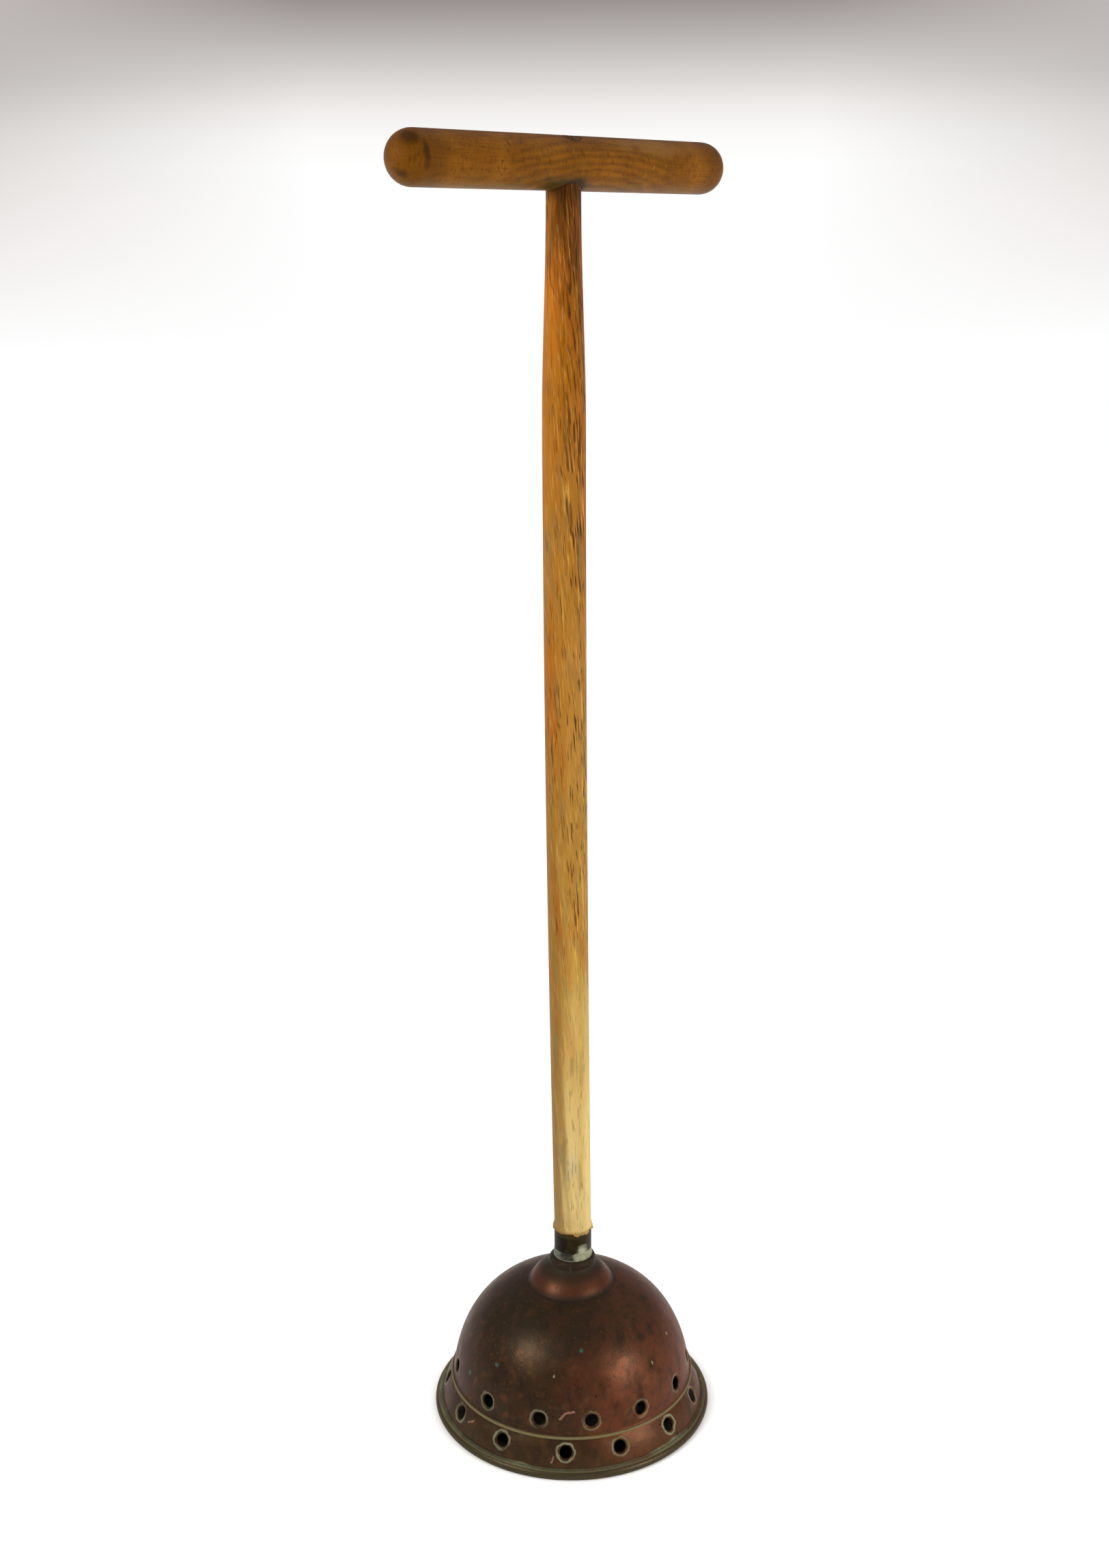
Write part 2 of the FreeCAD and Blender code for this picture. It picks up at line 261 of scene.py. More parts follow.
def finish_with(piece: Piece, kind: str, **settings: object) -> None:
    """Add one modifier with its settings and apply it.

    Args:
        piece: the object.
        kind: the modifier's type.
        **settings: its properties.
    """
    pick_object(piece)
    modifier = piece.modifiers.new(kind.title(), kind)
    for name, value in settings.items():
        setattr(modifier, name, value)
    bpy.ops.object.modifier_apply(modifier=modifier.name)


def smooth(piece: Piece, angle: float = 180.0) -> None:
    """Shade a piece smooth up to an angle in degrees."""
    pick_object(piece)
    bpy.ops.object.shade_smooth_by_angle(angle=math.radians(angle))


def mark(piece: Piece, name: str, measure: Callable[[Vector], float]) -> None:
    """Store a measure of each vertex, given its place in millimetres, as an attribute.

    Args:
        piece: the object.
        name: the attribute's name.
        measure: works out the value from the vertex's place.
    """
    layer = piece.data.attributes.new(name, "FLOAT", "POINT")
    layer.data.foreach_set("value", [measure(vertex.co / MM) for vertex in piece.data.vertices])


def dress(piece: Piece, slot: str, *materials: Material) -> Piece:
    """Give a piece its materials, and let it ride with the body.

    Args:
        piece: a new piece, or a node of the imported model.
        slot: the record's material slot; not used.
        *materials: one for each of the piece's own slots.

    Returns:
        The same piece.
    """
    for place, material in enumerate(materials):
        if place < len(piece.data.materials):
            piece.data.materials[place] = material
        else:
            piece.data.materials.append(material)
    if "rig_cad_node" not in piece:
        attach(piece, "root")
    return piece


# Finishes

@dataclass
class Brush:
    """Paints patterns in real millimetres on one node tree."""

    tree: bpy.types.NodeTree

    @classmethod
    def on(cls, owner: bpy.types.ID) -> "Brush":
        """Give a material or a world an empty node tree, and return a brush for it."""
        owner.use_nodes = True
        owner.node_tree.nodes.clear()
        return cls(owner.node_tree)

    def add(self, kind: str, inputs: dict | None = None, stops: Stops = (), **settings: object) -> Outputs:
        """Add a node with its settings, values and links.

        Args:
            kind: the node's type, without the words that all shader nodes share.
            inputs: a value, a hex colour or a socket for each input, by name or number.
            stops: places and hex colours, on a colour ramp.
            **settings: properties of the node.

        Returns:
            The node's outputs.
        """
        node = self.tree.nodes.new("ShaderNode" + kind)
        for name, value in settings.items():
            setattr(node, name, value)
        for key, value in (inputs or {}).items():
            if isinstance(value, Socket):
                self.tree.links.new(value, node.inputs[key])
            else:
                node.inputs[key].default_value = linear(value) if isinstance(value, str) else value
        for place, (position, colour) in enumerate(stops):
            elements = node.color_ramp.elements
            element = elements[place] if place < 2 else elements.new(position)
            element.position = position
            element.color = linear(colour)
        return node.outputs

    def calc(self, operation: str, *values: Socket | float, clamp: bool = False) -> Socket:
        """Return what one operation makes of its values, held between 0 and 1 with clamp."""
        return self.add("Math", dict(enumerate(values)), operation=operation, use_clamp=clamp)[0]

    def vector(self, operation: str, *values: Socket | Point) -> Outputs:
        """Return the outputs of one operation on vectors."""
        return self.add("VectorMath", dict(enumerate(values)), operation=operation)

    def ramp(self, value: Socket, start: float, end: float, most: float = 1.0,
             kind: str = "SMOOTHSTEP") -> Socket:
        """Return a rise from 0 to the most while a value goes from start to end.

        Args:
            value: what is followed.
            start: where the rise begins.
            end: where it ends; below start the rise goes the other way.
            most: the largest value.
            kind: SMOOTHSTEP eases both ends and LINEAR doesn't.

        Returns:
            A value from 0 to the most.
        """
        return self.add("MapRange", {"Value": value, "From Min": start, "From Max": end, "To Max": most},
                        interpolation_type=kind)["Result"]

    def place(self, stretch: Point = (1, 1, 1)) -> Socket:
        """Return the object's own coordinates in millimetres.

        Args:
            stretch: how many times each axis is multiplied; under 1 draws a pattern out along it.

        Returns:
            The coordinates.
        """
        own = self.add("TexCoord")["Object"]
        return self.add("Mapping", {"Vector": own, "Scale": [value / MM for value in stretch]})[0]

    def bearings(self) -> tuple[Socket, Socket, Socket, Socket]:
        """Return the coordinates, the height, the distance from the axis and that towards the lit side."""
        where = self.place()
        height = self.add("SeparateXYZ", {"Vector": where})["Z"]
        level = self.vector("MULTIPLY", where, (1, 1, 0))[0]
        radius = self.vector("LENGTH", level)["Value"]
        side = self.vector("DOT_PRODUCT", where, LIT_SIDE)["Value"]
        return where, height, radius, side

    def within(self, amount: Socket, limit: Socket | None) -> Socket:
        """Return an amount where a limit, if any, lets it through."""
        return self.calc("MULTIPLY", amount, limit) if limit else amount

    def clouds(self, where: Socket, size: float, low: float, high: float, most: float = 1.0,
               detail: float = 3.0, seed: float = 0.0, limit: Socket | None = None) -> Socket:
        """Return soft noise.

        Args:
            where: coordinates in millimetres.
            size: of the largest features.
            low: noise below this gives 0.
            high: noise above this gives the most.
            most: the largest value.
            detail: how many finer layers lie on it.
            seed: picks another pattern.
            limit: another amount that holds it back.

        Returns:
            A value from 0 to the most.
        """
        noise = self.add("TexNoise", {"Vector": where, "W": seed, "Scale": 1 / size, "Detail": detail},
                         noise_dimensions="4D")["Fac"]
        return self.within(self.ramp(noise, low, high, most), limit)

    def flecks(self, where: Socket, spacing: float, radius: float, share: float, most: float = 1.0,
               seed: float = 0.0) -> Socket:
        """Return scattered round flecks.

        Args:
            where: coordinates in millimetres.
            spacing: mean distance between possible flecks.
            radius: of the largest fleck.
            share: part of the possible flecks that are there.
            most: the value in a fleck's middle.
            seed: picks another scatter.

        Returns:
            The most in a fleck and 0 between them.
        """
        cells = self.add("TexVoronoi", {"Vector": where, "W": seed, "Scale": 1 / spacing},
                         voronoi_dimensions="4D")
        parts = self.add("SeparateColor", {"Color": cells["Color"]})
        there = self.calc("LESS_THAN", parts["Red"], share)
        size = self.calc("MULTIPLY", parts["Green"], radius / spacing)
        depth = self.calc("SUBTRACT", size, cells["Distance"])
        return self.calc("MULTIPLY", there, self.ramp(depth, 0.0, 0.3 * radius / spacing, most))

    def patch(self, where: Socket, centre: Point, reach: Point, most: float = 1.0,
              grain: float = 3.0) -> Socket:
        """Return one ragged patch.

        Args:
            where: coordinates in millimetres.
            centre: the patch's middle.
            reach: how far it goes along each axis.
            most: the value in its middle.
            grain: size of the ragged edge's noise.

        Returns:
            The most in the patch and 0 outside it.
        """
        moved = self.vector("SUBTRACT", where, centre)[0]
        scaled = self.vector("DIVIDE", moved, reach)[0]
        distance = self.vector("LENGTH", scaled)["Value"]
        rough = self.clouds(where, grain, 0.0, 1.0, 0.9)
        ragged = self.calc("ADD", distance, rough)
        return self.ramp(ragged, 1.4, 0.7, most)

    def stroke(self, where: Socket, start: Point, end: Point, width: float, most: float = 1.0) -> Socket:
        """Return one straight scratch or drip.

        Args:
            where: coordinates in millimetres.
            start: one end.
            end: the other end.
            width: across the stroke.
            most: the value along its middle.

        Returns:
            The most on the stroke and 0 beside it.
        """
        run = Vector(end) - Vector(start)
        moved = self.vector("SUBTRACT", where, start)[0]
        share = run / run.length_squared
        along = self.vector("DOT_PRODUCT", moved, share)["Value"]
        held = self.add("Clamp", {"Value": along})[0]
        nearest = self.add("VectorMath", {0: run, "Scale": held}, operation="SCALE")[0]
        away = self.vector("DISTANCE", moved, nearest)["Value"]
        rough = self.clouds(where, 1.5, 0.3, 0.8, width / 2)
        broken = self.calc("ADD", away, rough)
        return self.ramp(broken, width * 0.8, width * 0.3, most)

    def band(self, measure: Socket, start: float, end: float, soft: float, most: float = 1.0,
             waver: Socket | None = None, limit: Socket | None = None) -> Socket:
        """Return where a measure lies between two values.

        Args:
            measure: the value.
            start: where the band begins.
            end: where it ends.
            soft: half the width of its borders.
            most: the value inside.
            waver: moves the borders to and fro.
            limit: another amount that holds it back.

        Returns:
            The most inside the band and 0 outside it.
        """
        if waver:
            measure = self.calc("ADD", measure, waver)
        sides = [self.ramp(measure, edge - soft, edge + soft, most) for edge in (start, end)]
        return self.within(self.calc("SUBTRACT", *sides), limit)

    def coats(self, under: Socket | str, *coats: tuple[Socket | float, Socket | str]) -> Socket:
        """Lay coats of colour over one another.

        Args:
            under: the first colour.
            *coats: how thickly each coat lies, and its colour.

        Returns:
            The colour seen.
        """
        for amount, colour in coats:
            under = self.add("Mix", {0: amount, 6: under, 7: colour}, data_type="RGBA")[2]
        return under

    def bumps(self, *reliefs: tuple[Socket, float]) -> Socket:
        """Stack heights into one normal.

        Args:
            *reliefs: each height, and its depth in millimetres.

        Returns:
            The normal.
        """
        normal = None
        for height, depth in reliefs:
            inputs = {"Height": height, "Distance": depth * MM, "Strength": 1.0}
            if normal:
                inputs["Normal"] = normal
            normal = self.add("Bump", inputs)[0]
        return normal


@dataclass(frozen=True)
class Finish:
    """One real material and the way its surface was made."""

    name: str

    def paint(self, brush: Brush) -> Inputs:
        """Return the inputs of the surface shader."""
        raise NotImplementedError

    def material(self) -> Material:
        """Build the material."""
        material = bpy.data.materials.new(self.name)
        brush = Brush.on(material)
        surface = brush.add("BsdfPrincipled", self.paint(brush))[0]
        brush.add("OutputMaterial", {"Surface": surface})
        return material


@dataclass(frozen=True)
class SpunCopper(Finish):
    """Spun copper sheet, brown with oxide, never polished since.

    To the eye: a satin dark brown with dark runs and specks, and verdigris that has settled round the holes,
    along the seam and in the gutter above the rim. Painted light: it is redder on the lit side and, partly as
    painted highlight, on the boss, and painted shade darkens the crown, the crease round the boss, the boss's
    upper flank and the throats of the holes.
    """

    brown: str = "#2c1e13"
    red: str = "#5a2f1d"
    rust: str = "#5f3a1f"
    moss: str = "#24231a"
    dark: str = "#1a140e"
    skirt: str = "#382c1b"
    roll: str = "#3a3524"
    verdigris: str = "#70755d"
    khaki: str = "#655c3e"
    teal: str = "#38564d"
    pale: str = "#989069"
    pink: str = "#936a58"
    sheen: str = "#cbaa90"
    teal_spots: tuple[Point, ...] = ((-36.1, -48.7, 74.4), (-71.8, -4.3, 58.7), (-75.8, 19.1, 43.3))
    pale_specks: tuple[Point, ...] = ((31.3, -61.4, 64.0), (6.6, -72.2, 57.7), (-55.7, -43.3, 61.2))
    scratches: tuple[tuple[Point, Point], ...] = (
        ((-60.1, -53.6, 36.1), (-56.4, -55.3, 40.0)), ((-56.4, -55.3, 40.0), (-52.4, -58.9, 40.8)),
        ((-86.2, 8.3, 15.0), (-85.6, 4.0, 17.5)), ((-68.2, -56.0, 13.0), (-69.6, -55.6, 9.5)))
    drip: tuple[Point, Point] = ((-11.0, -11.2, 109.0), (-11.4, -11.9, 106.0))

    def paint(self, brush: Brush) -> Inputs:
        """Return oxide clouds with painted light and shade, then what the water left on them."""
        where, height, radius, side = brush.bearings()
        runs = brush.place(stretch=(1, 1, 0.4))
        waver = brush.clouds(where, 4, 0.3, 0.7, 0.9, seed=4)
        # painted light: the copper turns redder towards the lit side
        lit_side_redness = brush.band(side, 36, 500, 44, 0.85, brush.clouds(where, 26, 0.3, 0.7, 44, detail=5))
        # painted shade: the crown is darkened, as if it reflected a dark ceiling
        crown = brush.band(height, 72, 200, 16, 0.45, brush.clouds(where, 15, 0.3, 0.7, 12, seed=33))
        colour = brush.coats(
            self.brown,
            (lit_side_redness, self.red),
            (brush.clouds(where, 8, 0.5, 0.72, 0.45, detail=6, seed=31), self.rust),
            (brush.clouds(where, 4, 0.48, 0.68, 0.45, detail=6, seed=35), self.moss),
            (brush.clouds(runs, 9, 0.5, 0.72, 0.75, detail=6, seed=2), self.dark),
            (crown, self.moss),
            # the boss made redder, partly as painted highlight
            (brush.band(radius, 17, 28.5, 1.5, 0.45), self.red),
            (brush.band(height, -50, 22, 2, 0.4), self.skirt),
            (brush.flecks(runs, 4, 1.0, 0.45, 0.7, seed=5), self.dark),
            (brush.clouds(where, 2.2, 0.55, 0.75, 0.35, detail=4, seed=37), self.rust),
            (brush.flecks(runs, 11, 2.2, 0.35, 0.6, seed=6), self.dark))
        for spot in self.teal_spots:
            colour = brush.coats(colour, (brush.patch(where, spot, (2.2, 2.2, 2.2), 0.8, 2), self.teal))
        for speck in self.pale_specks:
            colour = brush.coats(colour, (brush.patch(where, speck, (1.0, 1.0, 2.6), 0.8, 1.5), self.pale))
        for start, end in self.scratches:
            colour = brush.coats(colour, (brush.stroke(where, start, end, 1.7, 0.65), self.pink))
        colour = brush.coats(colour, (brush.stroke(where, *self.drip, 2.4, 0.85), self.teal))

        hole = brush.add("Attribute", attribute_name="hole_mm")["Fac"]
        faint = brush.band(height, 26, 200, 2, 0.3)
        patchy = brush.clouds(where, 22, 0.3, 0.58, 0.9, detail=4, seed=11)
        patchy = brush.calc("SUBTRACT", patchy, faint, clamp=True)
        lips = brush.band(hole, 5.7, 7.0, 0.45, 1.0, waver, limit=patchy)
        # painted shade: dark in the throats of the holes
        inner = brush.band(hole, -9, 4.5, 0.25, 0.7)
        silt = brush.clouds(where, 30, 0.45, 0.75, -2.4, detail=2, seed=47)
        gutter = brush.band(height, -20, 5.5, 0.8, 1.0, silt, limit=brush.band(radius, 60, 92.6, 0.3, 0.8))
        crest = brush.band(radius, 92.4, 93.1, 0.3, 0.7)
        seam = brush.band(height, 22.5, 24.8, 0.35, 0.9)
        neck = brush.band(height, 104.8, 106.8, 1.0, 0.6, waver)
        # painted shade in the crease round the boss and over the boss's upper flank; it also counts as crust,
        # rough and dull
        crease_shade = brush.band(radius, 27.4, 31.2, 1.2, limit=brush.band(height, 80, 200, 3, 0.7))
        shoulder = brush.band(height, 100.5, 200, 2.5, 0.8)
        boss_shade = brush.calc("MAXIMUM", crease_shade, shoulder)
        tint = brush.coats(self.verdigris, (brush.clouds(where, 6, 0.35, 0.65, 0.6, seed=15), self.khaki))
        colour = brush.coats(
            colour,
            (brush.band(radius, 93.0, 200, 0.3, 0.9), self.roll),
            (boss_shade, self.dark),
            (inner, self.dark),
            (lips, tint),
            (gutter, tint),
            (crest, self.khaki),
            (seam, self.khaki),
            (neck, self.moss))
        crust = lips
        for part in (gutter, crest, seam, boss_shade):
            crust = brush.calc("MAXIMUM", crust, part)
        metal = brush.add("MapRange", {"Value": crust, "To Min": 0.46, "To Max": 0.08})["Result"]
        rough = brush.clouds(where, 12, 0.3, 0.7, 0.08, detail=5, seed=17)
        rough = brush.calc("MULTIPLY_ADD", crust, 0.25, rough)
        rough = brush.calc("ADD", rough, 0.32)
        fine = brush.clouds(where, 1.1, 0.0, 1.0, detail=4, seed=19)
        dents = brush.clouds(where, 16, 0.0, 1.0, detail=1, seed=21)
        return {
            "Base Color": colour,
            "Metallic": metal,
            "Roughness": rough,
            "Specular IOR Level": 0.3,
            "Specular Tint": self.sheen,
            "Normal": brush.bumps((dents, 0.35), (fine, 0.06), (crust, 0.12)),
        }


@dataclass(frozen=True)
class DullCopper(Finish):
    """Copper sheet inside the bell, never wiped: to the eye a dead dark brown with a green bloom."""

    brown: str = "#33251b"
    green: str = "#4b5c4f"
    chalk: str = "#7b7b69"

    def paint(self, brush: Brush) -> Inputs:
        """Return a dull brown with patches of green."""
        where = brush.place()
        colour = brush.coats(
            self.brown,
            (brush.clouds(where, 22, 0.45, 0.7, detail=5, seed=1), self.green),
            (brush.clouds(where, 6, 0.6, 0.75, detail=4, seed=3), self.chalk))
        return {
            "Base Color": colour,
            "Metallic": 0.35,
            "Roughness": 0.62,
            "Specular IOR Level": 0.3,
            "Normal": brush.bumps((brush.clouds(where, 1.4, 0.0, 1.0, detail=4, seed=5), 0.12)),
        }


@dataclass(frozen=True)
class SoftSolder(Finish):
    """Old tin and lead solder, wiped on by hand: to the eye a lumpy grey-green, brown where it thins."""

    dark: str = "#1a1811"
    grey: str = "#5d604f"
    brown: str = "#4d412b"
    pale: str = "#8f8f73"
    edge_height: float = 112.9

    def paint(self, brush: Brush) -> Inputs:
        """Return a dark grey-green, grey towards the side away from the lamp, pale towards the lit side as
        painted highlight, grey along the lower edge and brown in patches.
        """
        where, height, _, side = brush.bearings()
        waver = brush.clouds(where, 4, 0.3, 0.7, 3, seed=9)
        colour = brush.coats(
            self.dark,
            (brush.band(side, -500, -5.5, 2.5, 0.8, waver), self.grey),
            # painted highlight: pale towards the lit side
            (brush.band(side, 4.5, 500, 3, 0.9, waver), self.pale),
            (brush.band(height, 100, self.edge_height, 0.4, 0.7), self.grey),
            (brush.clouds(where, 3, 0.45, 0.7, 0.6, detail=4), self.brown))
        return {
            "Base Color": colour,
            "Metallic": 0.1,
            "Roughness": 0.5,
            "Specular IOR Level": 0.25,
            "Normal": brush.bumps((brush.clouds(where, 2.2, 0.0, 1.0, seed=5), 0.3)),
        }


@dataclass(frozen=True)
class ScaledIron(Finish):
    """Drawn iron tube or wire, brown-black with scale: almost no colour, grey where tin was wiped on."""

    black: str = "#14100a"
    brown: str = "#332914"
    tin: str = "#5d6152"
    bright_tin: str = "#9d9d82"
    sheen: str = "#857657"
    tin_height: float = -1000.0
    wet_height: float = 1000.0
    bright_place: Point = (-1.0, -12.8, 119.5)

    def paint(self, brush: Brush) -> Inputs:
        """Return scale, lighter brown towards the lit side as painted light, with tin below one height and
        rust above another.
        """
        where, height, _, side = brush.bearings()
        ragged = brush.clouds(where, 6, 0.3, 0.7, 5, seed=8)
        smear = brush.band(height, -500, self.tin_height, 2.5, 0.9, ragged)
        middle = brush.band(side, -5, 4, 3, 0.8)
        smear = brush.calc("SUBTRACT", smear, middle, clamp=True)
        bright = brush.patch(where, self.bright_place, (6.0, 4.5, 5.5), 0.85, 5)
        colour = brush.coats(
            self.black,
            # painted light: lighter brown towards the lit side
            (brush.band(side, 4, 500, 10, 0.6), self.brown),
            (brush.clouds(where, 5, 0.45, 0.7, 0.5, detail=4), self.brown),
            (brush.band(height, self.wet_height - 2, 2000, 1.5, 0.8), self.brown),
            (smear, self.tin),
            (bright, self.bright_tin))
        return {
            "Base Color": colour,
            "Metallic": 0.1,
            "Roughness": 0.48,
            "Specular IOR Level": 0.2,
            "Specular Tint": self.sheen,
            "Normal": brush.bumps((brush.clouds(where, 1.6, 0.0, 1.0, detail=4, seed=3), 0.1),
                                  (brush.clouds(where, 5, 0.0, 1.0, seed=13), 0.3)),
        }


@dataclass(frozen=True)
class HandledAsh(Finish):
    """Turned ash, washed and handled for years.

    To the eye: straw at the wet foot, golden brown in the middle and dark under the crossbar, partly as
    painted shade, with short dark pores and pale fibres that wind a little round the shaft. Lit and shaded
    copies of the tones are mixed by side as painted light, and gleaming fibres and a pale edge on the lit
    side are partly painted highlight.
    """

    pore: str = "#2c1808"
    grey: str = "#5f5637"
    olive: str = "#76693f"
    orange: str = "#8f4a0d"
    fibre: str = "#c69a54"
    frayed: str = "#67431b"
    rim_light: str = "#d4b976"
    gleam: str = "#c9973f"
    worn: str = "#a29b80"
    worn_place: tuple[Point, Point] = ((-8, -9.5, 183), (5, 5, 17))
    sheen: str = "#a8763a"
    # shaded and lit copies of the tones by height, painted light; both darken towards the top, partly as
    # painted shade under the crossbar
    shaded: Stops = ((0.18, "#7c6239"), (0.97, "#7c4a16"), (0.3, "#82612f"), (0.43, "#7e5922"),
                     (0.56, "#885c20"), (0.72, "#905d1c"), (0.83, "#8f5917"), (0.93, "#a35f16"))
    lit: Stops = ((0.19, "#ab915c"), (0.97, "#4e2c0f"), (0.25, "#bca56d"), (0.32, "#af9254"),
                  (0.4, "#a07f3c"), (0.5, "#916a2c"), (0.62, "#93662a"), (0.71, "#8d5f22"),
                  (0.84, "#86500f"), (0.9, "#7c4a10"), (0.93, "#673a0d"))
    height: float = 833.4
    foot_height: float = 133.0
    winding: float = 0.0062                     # radians in a millimetre of height

    def paint(self, brush: Brush) -> Inputs:
        """Return long winding grain with dark open pores, coloured by height, with lit and shaded tones mixed
        by side as painted light.
        """
        where, height, _, side = brush.bearings()
        twist = brush.calc("MULTIPLY", height, self.winding)
        wound = brush.add("VectorRotate", {"Vector": where, "Angle": twist}, rotation_type="Z_AXIS")[0]
        grain, long_grain, short_grain = (
            brush.vector("MULTIPLY", wound, (1, 1, stretch))[0]
            for stretch in (0.06, 0.02, 0.12))
        drift = brush.clouds(brush.place(stretch=(1, 1, 0.3)), 18, 0.2, 0.8, 90, detail=4, seed=1)
        level = brush.calc("ADD", height, drift)
        share = brush.calc("DIVIDE", level, self.height + 45)
        tones = [brush.add("ValToRGB", {"Fac": share}, stops)["Color"] for stops in (self.shaded, self.lit)]
        light = brush.band(side, -1.5, 500, 5.5, 1.0, brush.clouds(long_grain, 5, 0.3, 0.7, 5, seed=2))
        right = brush.band(side, -2, 500, 8)
        zones = brush.clouds(brush.place(stretch=(1, 1, 0.25)), 14, 0.4, 0.62, 0.85, seed=9)
        zones = brush.calc("MAXIMUM", zones, right)
        pores = brush.clouds(grain, 1.0, 0.56, 0.65, 0.9, detail=2, seed=7)
        streaks = brush.clouds(grain, 1.3, 0.55, 0.64, 0.8, detail=2, seed=21,
                               limit=brush.band(height, 590, 2000, 70))
        pores = brush.calc("MAXIMUM", pores, streaks)
        pores = brush.within(pores, zones)
        low = brush.band(height, -100, 330, 60, 1.0)
        upper_pores = brush.calc("SUBTRACT", pores, low, clamp=True)
        lower_pores = brush.clouds(brush.place(stretch=(1, 1, 0.12)), 1.3, 0.55, 0.66, 0.6, detail=2, seed=27)
        lower_pores = brush.calc("MINIMUM", lower_pores, low)
        tanned = brush.clouds(short_grain, 9, 0.5, 0.66, 0.5, seed=3, limit=brush.band(height, 260, 2000, 70))
        greying = brush.clouds(short_grain, 5, 0.5, 0.68, 0.4, detail=4, seed=4,
                               limit=brush.band(height, -100, 680, 50))
        fibres = brush.clouds(grain, 0.8, 0.52, 0.7, 0.28, detail=3, seed=5)
        # pale fibre streaks, kept to the lit side: partly painted highlight
        gleams = brush.clouds(grain, 1.5, 0.58, 0.68, 0.6, detail=2, seed=23,
                              limit=brush.band(height, 230, 650, 60))
        gleams = brush.within(gleams, light)
        # painted highlight: a pale edge on the lit side near the foot
        bright = brush.band(side, 9.5, 500, 2.0, 0.6, limit=brush.band(height, -500, 260, 90))
        colour = brush.coats(
            tones[0],
            (light, tones[1]),
            (tanned, self.orange),
            (greying, self.grey),
            (fibres, self.fibre),
            (gleams, self.gleam),
            (brush.patch(where, *self.worn_place, 0.4, 4), self.worn),
            (lower_pores, self.olive),
            (upper_pores, self.pore),
            (bright, self.rim_light),
            (brush.band(height, -100, self.foot_height + 1, 1.2, 0.6), self.frayed),
            # painted shade: darker at the top where the shaft goes into the crossbar
            (brush.band(height, 800, 815, 3.5, 0.5), self.pore))
        return {
            "Base Color": colour,
            "Roughness": 0.58,
            "Specular IOR Level": 0.18,
            "Specular Tint": self.sheen,
            "Normal": brush.bumps((fibres, 0.12), (pores, -0.2)),
        }


@dataclass(frozen=True)
class OiledHardwood(Finish):
    """Turned hardwood, dark and smooth from hands.

    To the eye: an even brown with arched growth lines about the joint, fine flecks across the grain,
    black hand dirt at one end, and a greyish painted shade and a dark painted shadow where the shaft goes in.
    """

    brown: str = "#6c4009"
    gold: str = "#7d4d10"
    dark: str = "#3f2408"
    olive: str = "#6f501c"
    dirt: str = "#241606"
    shade: str = "#2e2710"
    bloom: str = "#86602e"
    sheen: str = "#9a6426"
    arch_spacing: float = 3.9
    arch_squeeze: float = 0.33
    arch_place: Point = (18.0, 0.0, 792.0)
    arch_reach: tuple[float, float] = (-52.0, 76.0)
    dirt_places: tuple[tuple[Point, Point], ...] = (
        ((-118, -8, 827.5), (10, 9, 7)), ((-124, -6.5, 808), (6, 7, 6)), ((-112, -14, 819), (3, 8, 10)))
    dark_ends: tuple[tuple[float, float], ...] = ((-300, -98), (105, 300))
    joint_shade: tuple[Point, Point] = ((-10, -12, 804), (36, 15, 9))
    joint_shadow_reach: float = 12.4
    bloom_place: tuple[Point, Point] = ((62, -10, 828), (40, 14, 9))
    scar: tuple[Point, Point] = ((65.4, -11.1, 828.6), (58.5, -15.3, 816))
    tick: tuple[Point, Point] = ((-60.2, -15.3, 815), (-59.4, -15.0, 817))

    def paint(self, brush: Brush) -> Inputs:
        """Return growth arches and flecks, then hand dirt, painted shade and shadow about the joint, and
        scars.
        """
        where, height, radius, _ = brush.bearings()
        along_bar = brush.add("SeparateXYZ", {"Vector": where})["X"]
        centred = brush.vector("SUBTRACT", where, self.arch_place)[0]
        squeeze = (self.arch_squeeze, 1, 1)
        squeezed = brush.vector("MULTIPLY", centred, squeeze)[0]
        ring_scale = math.tau / 20 / self.arch_spacing
        arches = brush.add("TexWave", {"Vector": squeezed, "Scale": ring_scale, "Distortion": 4.0,
                                       "Detail": 2.0, "Detail Scale": 1.5},
                           wave_type="RINGS", rings_direction="Y")["Fac"]
        arches = brush.within(arches, brush.band(along_bar, *self.arch_reach, 14, 0.36))
        along = brush.place(stretch=(0.06, 1, 1))
        across = brush.place(stretch=(1, 1, 0.3))
        flecks = brush.clouds(across, 1.5, 0.5, 0.7, 0.55, detail=3, seed=6)
        fibres = brush.clouds(along, 1.0, 0.45, 0.7, 0.35, detail=3, seed=5)
        colour = brush.coats(
            self.brown,
            (brush.clouds(where, 22, 0.4, 0.65, 0.8, detail=4, seed=1), self.gold),
            (brush.band(height, 700, 809, 5, 0.6, brush.clouds(where, 12, 0.3, 0.7, 5, seed=2)), self.olive),
            (arches, self.dark),
            (fibres, self.dark),
            (flecks, self.dark),
            (brush.clouds(across, 2.5, 0.55, 0.72, 0.3, detail=2, seed=8), self.gold),
            (brush.patch(where, *self.joint_shade, 0.8, 12), self.shade),
            (brush.patch(where, *self.bloom_place, 0.45, 9), self.bloom),
            (brush.stroke(where, *self.scar, 1.6, 0.6), self.bloom),
            (brush.stroke(where, *self.tick, 1.3, 0.7), self.dirt))
        # painted shadow: dark round the bore where the shaft goes into the bar
        joint = brush.band(radius, -1, self.joint_shadow_reach, 0.9, 0.8, limit=brush.band(height, 700, 815, 2))
        colour = brush.coats(colour, (joint, self.dirt))
        for start, end in self.dark_ends:
            colour = brush.coats(colour, (brush.band(along_bar, start, end, 7, 0.45), self.dark))
        for centre, reach in self.dirt_places:
            colour = brush.coats(colour, (brush.patch(where, centre, reach, 0.7, 6), self.dirt))
        return {
            "Base Color": colour,
            "Roughness": 0.5,
            "Specular IOR Level": 0.2,
            "Specular Tint": self.sheen,
            "Normal": brush.bumps((fibres, 0.08), (flecks, -0.05)),
        }


# The bell

